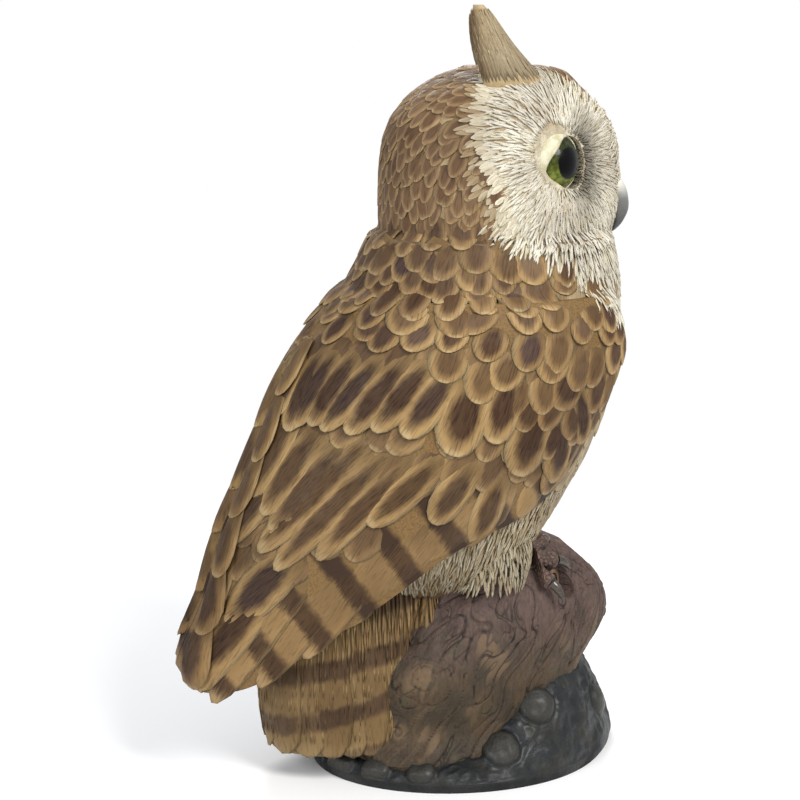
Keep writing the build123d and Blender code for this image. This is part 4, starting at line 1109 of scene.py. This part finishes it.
for x, y, z, size, stand in KNOTS:
    away = (surface - np.array([x, y, z]) * MM) / MM
    far = np.linalg.norm(away * [1, 1, 0.8], axis=-1) + waves(surface, 0.010, seed=8) * 1.4
    share = np.clip(1 - far / size, 0, 1)
    share = share * share * (3 - 2 * share)
    rings = 0.25 - 0.8 * np.exp(-(np.sin(far * np.pi / 2.6) / 0.3) ** 2) - 0.2 * fine
    height = height * (1 - share) + (rings + stand * 1.4 * np.exp(-(far / (size * 0.45)) ** 2)) * share
print("relief of the bark, mm:", round(float(height.min()), 2), "to", round(float(height.max()), 2))

# %% The sensor's hole, and the outside and inside of the bark
SENSOR_FACE = np.array([-20.4, -19.9, 60])  # mm: middle of the hole at the bark
SENSOR_TURN = math.radians(35)              # the hole faces this far from -X towards -Y
HOLE_RADIUS, HOLE_DEPTH, HOLE_EDGE = 4.45, 12.5, 0.35  # mm
CALM = 3.5         # mm: the bark is smooth near the hole and rough again beyond this
PROUD = 0.75       # mm: how far the bark's mean height stands off the casting
WALL_IN = 1.6      # mm: the bark is a shell, and its inside lies this far under the casting's surface
WIDER, DEEPER = 0.75, 0.7  # mm: the inside's hole, against the outside's

sensor_axis = np.array([-math.cos(SENSOR_TURN), -math.sin(SENSOR_TURN), 0])
off_axis = surface / MM - SENSOR_FACE
depth = off_axis @ sensor_axis
aside = np.linalg.norm(off_axis - depth[..., None] * sensor_axis, axis=-1)
in_front = (outward @ sensor_axis) > 0
hole = np.clip((HOLE_RADIUS - aside) / HOLE_EDGE, 0, 1) * in_front
calm = np.clip((aside - 4.4) / CALM, 0, 1)
height = np.where(in_front, height * (0.2 + 0.8 * calm), height)
fade = np.clip((trunk.high - level) / (5 * MM), 0, 1) ** 0.5
points = surface + outward * ((PROUD + height * 0.75 * fade) * MM)[..., None]
points = points - sensor_axis * (hole * HOLE_DEPTH * MM)[..., None]
wide_hole = np.clip((HOLE_RADIUS + WIDER - aside) / HOLE_EDGE, 0, 1) * in_front
inside = surface - outward * WALL_IN * MM - sensor_axis * (wide_hole * (HOLE_DEPTH + DEEPER) * MM)[..., None]
# Painted shade and highlight, kept as an attribute: darker in the cracks and down the sensor's hole, lighter
# on the ridges.
shade = 0.62 + 0.34 * (height - height.mean()) / height.std() / 2 - 0.16 * fine - 0.2 * crack
shade = np.clip(shade, 0, 1) * (1 - 0.5 * hole)
print("points of the bark in the hole:", int((hole > 0).sum()))


# %% Wood paint, and the bark itself
def wood_material(name, carved=True):
    """Wood paint, with painted shade in the cracks and a painted highlight on the ridges; on the bare
    casting, which has no cracks, a noise stands in for this painted shade and highlight.
    """
    paint = Paint(name, Specular_IOR_Level=0.3)
    place = paint.place()
    shade = paint.attribute("painted_shade_and_highlight", "Fac") if carved else paint.noise(place, 500.0, detail=4.0)
    stretched = paint.node("ShaderNodeMapping", None,
                           {"Vector": place, "Scale": (1, 1, 0.14), "Rotation": (0.5, 0, 0)}, "Vector")
    grain = paint.noise(stretched, 1300.0, detail=5.0)
    blotch = paint.noise(place, 75.0, detail=4.0)
    small = paint.noise(place, 1100.0, detail=5.0)
    upper = (paint.height_mm(place) + blotch * 20).ramp(40, 72)
    olive = paint.mix(blotch.ramp(0.35, 0.65), paint_colour("372e22"), paint_colour("4c3c29"))
    wood = paint.mix(upper, olive, paint_colour("5b4842"))
    wood = paint.mix(grain.ramp(0.35, 0.7, 0, 0.5), wood, paint_colour("31271f"))
    moss = paint.noise(place, 160.0, detail=5.0)
    wood = paint.mix(moss.ramp(0.56, 0.7, 0, 0.4), wood, paint_colour("47452f"))
    # Painted shade in the cracks and down the sensor's hole.
    wood = paint.mix(shade.ramp(0.05, 0.6, 0.9, 0), wood, paint_colour("120d0a"))
    # Painted highlight on the ridges.
    wood = paint.mix(shade.ramp(0.74, 1.0, 0, 0.4), wood, paint_colour("7d6549"))
    paint.feed(Base_Color=wood, Roughness=small.ramp(0.3, 0.7, 0.5, 0.75))
    paint.bump(grain + small * 0.3, 0.75, 0.4 * MM)
    return paint.material


closed_skin("bark", np.concatenate([points[::-1], inside]), wood_material("wood paint"),
            {"painted_shade_and_highlight": np.concatenate([shade[::-1], shade])}, "painted_resin_wood")

# %% [markdown]
# ## The base
# The base is a wet dark rock. Its cover is a thin closed skin: the outside goes from the middle of the
# top, out and over the rim, down to the foot, and the inside comes back just under the CAD surface. It
# climbs the foot of the stump, because the real one was cast as a mound that the stump stands in.

# %% The smooth mound
rock_tree = tree_of("rock_base")
rock_low, rock_high = (np.array(corner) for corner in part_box("rock_base"))
rock_middle = (rock_low + rock_high) / 2
turns = np.linspace(-np.pi, np.pi, 420, endpoint=False)
rim = Skin(["rock_base"], (rock_middle[0], rock_middle[1], 0), 0.4 * MM, 6 * MM, levels=14, smooth=1)
widest = rim.table.max(0)
widest = np.interp(turns, rim.turns, widest, period=2 * np.pi)
# Shares of the way from the middle to the rim, closer together at the rim.
shares = np.concatenate([np.linspace(0.02, 0.985, 120),
                         0.985 + 0.013 * np.sin(np.linspace(0.1, np.pi / 2, 8))])
ray = np.stack([np.sin(turns), -np.cos(turns), 0 * turns], -1)
top = []
for share in shares:
    places = rock_middle * [1, 1, 0] + ray * (widest * share)[:, None] + [0, 0, 0.09]
    hits = [rock_tree.ray_cast(Vector(start), Vector((0, 0, -1)))[0] for start in places]
    top.append([hit if hit is not None else (*start[:2], 2 * MM) for hit, start in zip(hits, places)])
top = np.array(top)
# How high the rock climbs the stump's foot: turn (degrees) and height (mm).
CLIMB = np.array([(-180, 7), (-125, 8), (-105, 10), (-80, 20), (-62, 27), (-25, 33), (20, 32), (60, 26),
                  (110, 14), (180, 7)])
BANK = 0.32  # share of the way from the rim over which the mound rises
climb = np.interp(np.degrees(turns), *CLIMB.T) * MM
from_rim = np.clip((1 - shares) / BANK, 0, 1)[:, None]
mound = top[-1, :, 2] + (climb - top[-1, :, 2]) * (1 - (1 - from_rim) ** 1.8)
top[..., 2] = soften(np.maximum(top[..., 2], mound), 3)
along, around = np.gradient(top, axis=0), (np.roll(top, -1, 1) - np.roll(top, 1, 1)) / 2
outward = np.cross(around, along)
outward /= np.maximum(np.linalg.norm(outward, axis=-1, keepdims=True), 1e-9)
outward *= np.sign(outward[..., 2:])
print("highest point of the mound, mm:", round(float(top[..., 2].max() / MM), 1))

# %% Lumps and stones
lumps = waves(top, 0.018, seed=11)
grit = 1 - np.abs(waves(top, 0.006, count=36, seed=12)) * 2
fine = waves(top, 0.0024, count=40, seed=13)
height = 0.8 * lumps + 0.4 * grit + 0.16 * fine
# Stones in the rock: turn (degrees), height and radius (mm).
STONES = np.array([(-66, 23, 6.6), (-92, 11.5, 6.4), (-165, 5, 6), (180, 5, 5), (-148, 5, 5.5), (-130, 6, 5),
                   (-20, 16, 5.5), (150, 6, 6), (96, 9, 6), (120, 7, 5), (14, 14, 4.5), (50, 16, 5.5)])
STONE_RISE, SEAM_DEPTH, SEAM_WIDTH = 3.0, 0.9, 0.8  # mm: a dome, and a sunken seam round it, darkened by painted shade
outer_half = shares > 0.6
for turn_of, level_of, size in STONES:
    column = np.abs(np.degrees(turns) - turn_of).argmin()
    row = np.abs(np.where(outer_half, top[:, column, 2] / MM, 99) - level_of).argmin()
    far = np.linalg.norm(top - top[row, column], axis=-1) / MM + waves(top, 0.008, seed=14) * 0.4
    stone = STONE_RISE * np.sqrt(np.clip(1 - (far / size) ** 2, 0, 1)) - 0.3 + 0.25 * grit
    height = np.maximum(height, stone) - SEAM_DEPTH * np.exp(-((far - size) / SEAM_WIDTH) ** 2)
print("relief of the rock, mm:", round(float(height.min()), 1), "to", round(float(height.max()), 1))

# %% The closed cover: outside, skirt down to the ground, and inside
edge_fade = np.clip((1 - shares) / 0.03, 0.12, 1)[:, None]
outer = top + outward * ((0.35 + np.maximum(height, -0.9) * edge_fade * 0.8) * MM)[..., None]
skirt = []
for level, inset in ((2.2, 0.1), (1.2, 0.5), (0.5, 1.4)):  # mm
    ring = rock_middle * [1, 1, 0] + ray * (widest - inset * MM)[:, None]
    ring[:, 2] = np.minimum(level * MM, outer[-1, :, 2])
    skirt.append(ring)
RIM_ROWS = 4     # rows nearest the rim, where the inside would cross the skirt
COVER_WALL = 1.2  # mm
inner = top[::-1][RIM_ROWS:] - np.array([0, 0, COVER_WALL * MM])
inner[..., 2] = np.maximum(inner[..., 2], 0.45 * MM)
points = np.concatenate([outer, skirt, inner])
# Painted shade and highlight, kept as an attribute: darker in the low places, the seams and the skirt,
# lighter on the high places.
shade = np.concatenate([height, np.full((len(skirt), len(turns)), -0.4), height[::-1][RIM_ROWS:]])
shade = np.clip(0.5 + shade / 2.6, 0, 1)


def rock_material():
    """Near-black rock with brown patches. A thin coat lies over it in pools, so it looks wet."""
    paint = Paint("rock paint", Specular_IOR_Level=0.3, Coat_Roughness=0.3)
    place = paint.place()
    shade = paint.attribute("painted_shade_and_highlight", "Fac")
    blotch = paint.noise(place, 60.0, detail=5.0)
    small = paint.noise(place, 900.0, detail=6.0)
    rock = paint.mix(blotch.ramp(0.38, 0.62), paint_colour("0c0e10"), paint_colour("191b1c"))
    patch = paint.noise(place, 130.0, detail=4.0).ramp(0.5, 0.68, 0, 0.7)
    rock = paint.mix(patch, rock, paint_colour("25221a"))
    # Painted shade in the low places, the seams and the skirt.
    rock = paint.mix(shade.ramp(0.05, 0.5, 0.85, 0), rock, paint_colour("0c0d0e"))
    # Painted highlight on the high places.
    rock = paint.mix((shade + small * 0.5 - 0.25).ramp(0.72, 1.1, 0, 0.3), rock, paint_colour("4a463b"))
    wet = paint.noise(place, 90.0, detail=3.0)
    paint.feed(Base_Color=rock, Roughness=wet.ramp(0.35, 0.65, 0.45, 0.7),
               Coat_Weight=wet.ramp(0.42, 0.65, 0.22, 0.0))
    paint.bump(small, 0.9, 0.5 * MM)
    return paint.material


rock = rock_material()
closed_skin("wet_rock", points, rock, {"painted_shade_and_highlight": shade}, "painted_resin_rock")

# %% [markdown]
# ## Other paints
# The remaining CAD nodes have the right shape already. They keep it and take a better material. The
# castings that lie under the feathers are painted too, because a little of them shows in the gaps.

# %% Toes, and a paint for any other surface
def toe_material():
    """Toes: small rounded plates, pinkish brown with dark seams."""
    paint = Paint("toe paint", Specular_IOR_Level=0.4)
    place = paint.place()
    plates = paint.node("ShaderNodeTexVoronoi", {"feature": "DISTANCE_TO_EDGE"},
                        {"Vector": place, "Scale": 620.0, "Randomness": 0.8}, "Distance")
    blotch = paint.noise(place, 300.0, detail=3.0)
    skin = paint.mix(blotch.ramp(0.35, 0.65), paint_colour("56433a"), paint_colour("6d564a"))
    paint.feed(Base_Color=paint.mix(plates.ramp(0.0, 0.16, 0.75, 0), skin, paint_colour("2f231d")),
               Roughness=blotch.ramp(0.3, 0.7, 0.45, 0.65))
    paint.bump(plates.ramp(0, 0.3), 0.8, 0.5 * MM)
    return paint.material


def cast_material(name, first, second, scale=300.0, depth=0.25, roughness=0.5, **constants):
    """Any other surface: two mottled colours with a fine grain of the same roughness as its finish."""
    paint = Paint(name, **constants)
    place = paint.place()
    blotch, grain = paint.noise(place, scale, detail=4.0), paint.noise(place, scale * 7, detail=4.0)
    mottle = (blotch * 0.7 + grain * 0.3).ramp(0.38, 0.62)
    paint.feed(Base_Color=paint.mix(mottle, paint_colour(first), paint_colour(second)),
               Roughness=grain.ramp(0.3, 0.7, roughness - 0.07, roughness + 0.08))
    paint.bump(grain, depth, 0.15 * MM)
    return paint.material


# %% Castings under the feathers
def head_material():
    """The casting under the bristles and crown feathers: pale over the face, brown behind and above."""
    paint = Paint("under head", Roughness=0.6)
    place = paint.place()
    mottle, grain = paint.noise(place, 300.0), paint.noise(place, 1600.0, detail=4.0)
    from_middle = paint.vector_math("SUBTRACT", place, tuple(head_ball))
    ahead = (head_place(0, -1, 0) - head_place(0, 0, 0)) / MM
    front = paint.vector_math("DOT_PRODUCT", from_middle, tuple(ahead), output="Value")
    below_brow = (paint.height_mm(place) - front * 200 + mottle * 4).ramp(204, 210, 1, 0)
    face = (front * 1000 + mottle * 6).ramp(0, 4) * below_brow
    brown = paint.mix(mottle.ramp(0.35, 0.65), paint_colour("8a7352"), paint_colour("a08862"))
    pale = paint.mix(mottle.ramp(0.35, 0.65), paint_colour("b3a68a"), paint_colour("cfc6ae"))
    pale = paint.mix(grain.ramp(0.3, 0.6, 0.5, 0), pale, paint_colour("7c7160"))
    paint.feed(Base_Color=paint.mix(face, brown, pale))
    paint.bump(grain, 0.6, 0.25 * MM)
    return paint.material


def barred_material(name, ground, mark, bars):
    """The casting under the wing and tail feathers: soft bars that run on from the feathers above."""
    paint = Paint(name, Roughness=0.6, Specular_IOR_Level=0.2)
    place = paint.place()
    wander, grain = paint.noise(place, 230.0), paint.noise(place, 1500.0, detail=4.0)
    phase = paint.vector_math("DOT_PRODUCT", place, tuple(bars), output="Value")
    wave = (phase * TURN + wander * 1.3 - 0.65).sine()
    low = paint.height_mm(place).ramp(100, 116, 1, 0)
    colour = paint.mix(wave.ramp(-0.2, 0.75) * low, paint_colour(ground), paint_colour(mark))
    paint.feed(Base_Color=paint.mix(grain.ramp(0.3, 0.6, 0.4, 0), colour, paint_colour("33241a")))
    paint.bump(grain, 0.4, 0.2 * MM)
    return paint.material


# %% Paint for each CAD node that stays
steel = cast_material("plated steel", "a7a9ab", "c3c4c6", 500.0, 0.08, 0.3, Metallic=1.0)
black_plastic = cast_material("black plastic", "141415", "1d1d1f", 900.0, 0.2, 0.5)
PAINTED_NODES = (
    (cast_material("under feathers", "59442b", "715a3c", 220.0, 0.4), ("torso_shell",)),
    (head_material(), ("head_shell",)),
    (barred_material("under wing", "7a5f3a", "38271b", FLIGHT_BARS), ("right_wing", "left_wing")),
    (barred_material("under tail", "8d7650", "42311f", TAIL_BARS), ("tail_fan",)),
    (cast_material("under tufts", "96805c", "b09a72", 400.0, 0.4), ("right_ear_tuft", "left_ear_tuft")),
    (cast_material("under bristles", "b7a985", "d6ccb1", 400.0, 0.4), ("right_leg", "left_leg")),
    (wood_material("bare wood paint", False), ("tree_stump",)),
    (rock, ("rock_base",)),
    (horn, ("upper_beak", "lower_beak", "right_claws", "left_claws")),
    (toe_material(), ("right_foot", "left_foot")),
    (black_plastic, ("base_plate", "battery_door", "switch_body", "switch_knob", "sound_chip", "transistor",
                     "capacitor", "lead_sockets")),
    (steel, ("hinge_pin", "base_plate_screws", "door_springs", "upper_contacts", "board_screws",
             "speaker_frame")),
    (cast_material("sensor lens", "08080a", "0c0c0e", 900.0, 0.02, 0.12, Coat_Weight=1.0,
                   Coat_Roughness=0.03), ("sensor",)),
    (cast_material("sleeve paint", "6b5340", "856a50", 500.0, 0.3, 0.6), ("sensor_sleeve",)),
    (cast_material("cell jacket", "8d2b22", "9c3328", 700.0, 0.05, 0.3, Coat_Weight=0.4),
     ("battery_cell_1", "battery_cell_2", "battery_cell_3")),
    (cast_material("ferrite", "2b2b2d", "38383a", 800.0, 0.4, 0.55), ("speaker_magnet",)),
    (cast_material("cone film", "1b1a19", "26231f", 900.0, 0.2, 0.4), ("speaker_cone",)),
    (cast_material("copper wire", "b06a3c", "c47c48", 1200.0, 0.3, 0.3, Metallic=1.0), ("voice_coil",)),
    (cast_material("board green", "1d5a34", "25683c", 700.0, 0.1, 0.35, Coat_Weight=0.5), ("circuit_board",)),
    (cast_material("dowel wood", "b89160", "cba676", 500.0, 0.4, 0.6),
     ("ear_tuft_dowels", "wing_dowels", "tail_dowel")),
)
painted = set()
for material, names in PAINTED_NODES:
    for name in names:
        mesh = nodes[name].data
        mesh.materials.clear()
        mesh.materials.append(material)
        painted.add(name)
print("nodes without their own paint:", sorted(set(nodes) - painted))

# %% [markdown]
# ## Stage
# A white sheet, soft light from above and from both sides, and a camera as high as the owl's crown. The
# sheet fades out round the owl, so that it catches the shadow but has no edge. The camera sees a white
# world, while surfaces are lit by a dimmer and slightly blue one.

# %% Floor
SHEET = 3  # metres: half its side
floor_mesh = bpy.data.meshes.new("floor")
floor_mesh.from_pydata([(-SHEET, -SHEET, 0), (SHEET, -SHEET, 0), (SHEET, SHEET, 0), (-SHEET, SHEET, 0)], [],
                       [(0, 1, 2, 3)])
floor_paint = Paint("floor paint", Base_Color=(0.9, 0.9, 0.9, 1), Roughness=0.8)
from_middle = floor_paint.vector_math("LENGTH", floor_paint.place(), output="Value")
floor_paint.feed(Alpha=from_middle.ramp(0.16, 0.42, 1, 0))
floor_mesh.materials.append(floor_paint.material)
floor = bpy.data.objects.new("floor", floor_mesh)
bpy.context.scene.collection.objects.link(floor)
print("sheet, metres across:", 2 * SHEET)

# %% World
world = bpy.data.worlds.new("studio")
bpy.context.scene.world = world
world.use_nodes = True
tree = world.node_tree
light_path = tree.nodes.new("ShaderNodeLightPath")
seen = tree.nodes.new("ShaderNodeBackground")
seen.inputs["Color"].default_value = (1, 1, 1, 1)
shine = tree.nodes["Background"]
shine.inputs["Color"].default_value = (0.93, 0.96, 1.0, 1)
shine.inputs["Strength"].default_value = 0.58
choice = tree.nodes.new("ShaderNodeMixShader")
tree.links.new(light_path.outputs["Is Camera Ray"], choice.inputs[0])
tree.links.new(shine.outputs[0], choice.inputs[1])
tree.links.new(seen.outputs[0], choice.inputs[2])
tree.links.new(choice.outputs[0], tree.nodes["World Output"].inputs["Surface"])
print("nodes of the world:", len(tree.nodes))


# %% Lights
def soft_light(name, place, target, size, power, colour):
    """A round lamp at a place, turned to its target. Size is in metres and power in watts."""
    lamp = bpy.data.lights.new(name, "AREA")
    lamp.shape, lamp.size, lamp.energy, lamp.color = "DISK", size, power, colour
    item = bpy.data.objects.new(name, lamp)
    item.location = place
    item.rotation_euler = (Vector(target) - Vector(place)).to_track_quat("-Z", "Y").to_euler()
    bpy.context.scene.collection.objects.link(item)
    return item


middle = (0, 0.02, 0.13)
soft_light("key", (-0.9, -0.35, 0.95), middle, 0.55, 15, (1.0, 0.98, 0.95))
soft_light("side", (-0.55, 0.95, 0.55), middle, 0.6, 6.5, (0.95, 0.97, 1.0))
soft_light("back", (0.8, -0.2, 0.7), middle, 0.5, 5, (1, 1, 1))

print("lights:", len(bpy.data.lights))

# %% Camera
CAMERA_PLACE, CAMERA_AIM = Vector((-0.5262, 0.205, 0.228)), Vector((0.010, 0.0255, 0.118))
camera = bpy.data.cameras.new("camera")
camera.lens = 79.2
item = bpy.data.objects.new("camera", camera)
item.location = CAMERA_PLACE
item.rotation_euler = (CAMERA_AIM - item.location).to_track_quat("-Z", "Y").to_euler()
bpy.context.scene.collection.objects.link(item)
bpy.context.scene.camera = item
bpy.context.scene.view_settings.view_transform = "Standard"
print("camera, metres from the owl:", round((CAMERA_PLACE - CAMERA_AIM).length, 3))
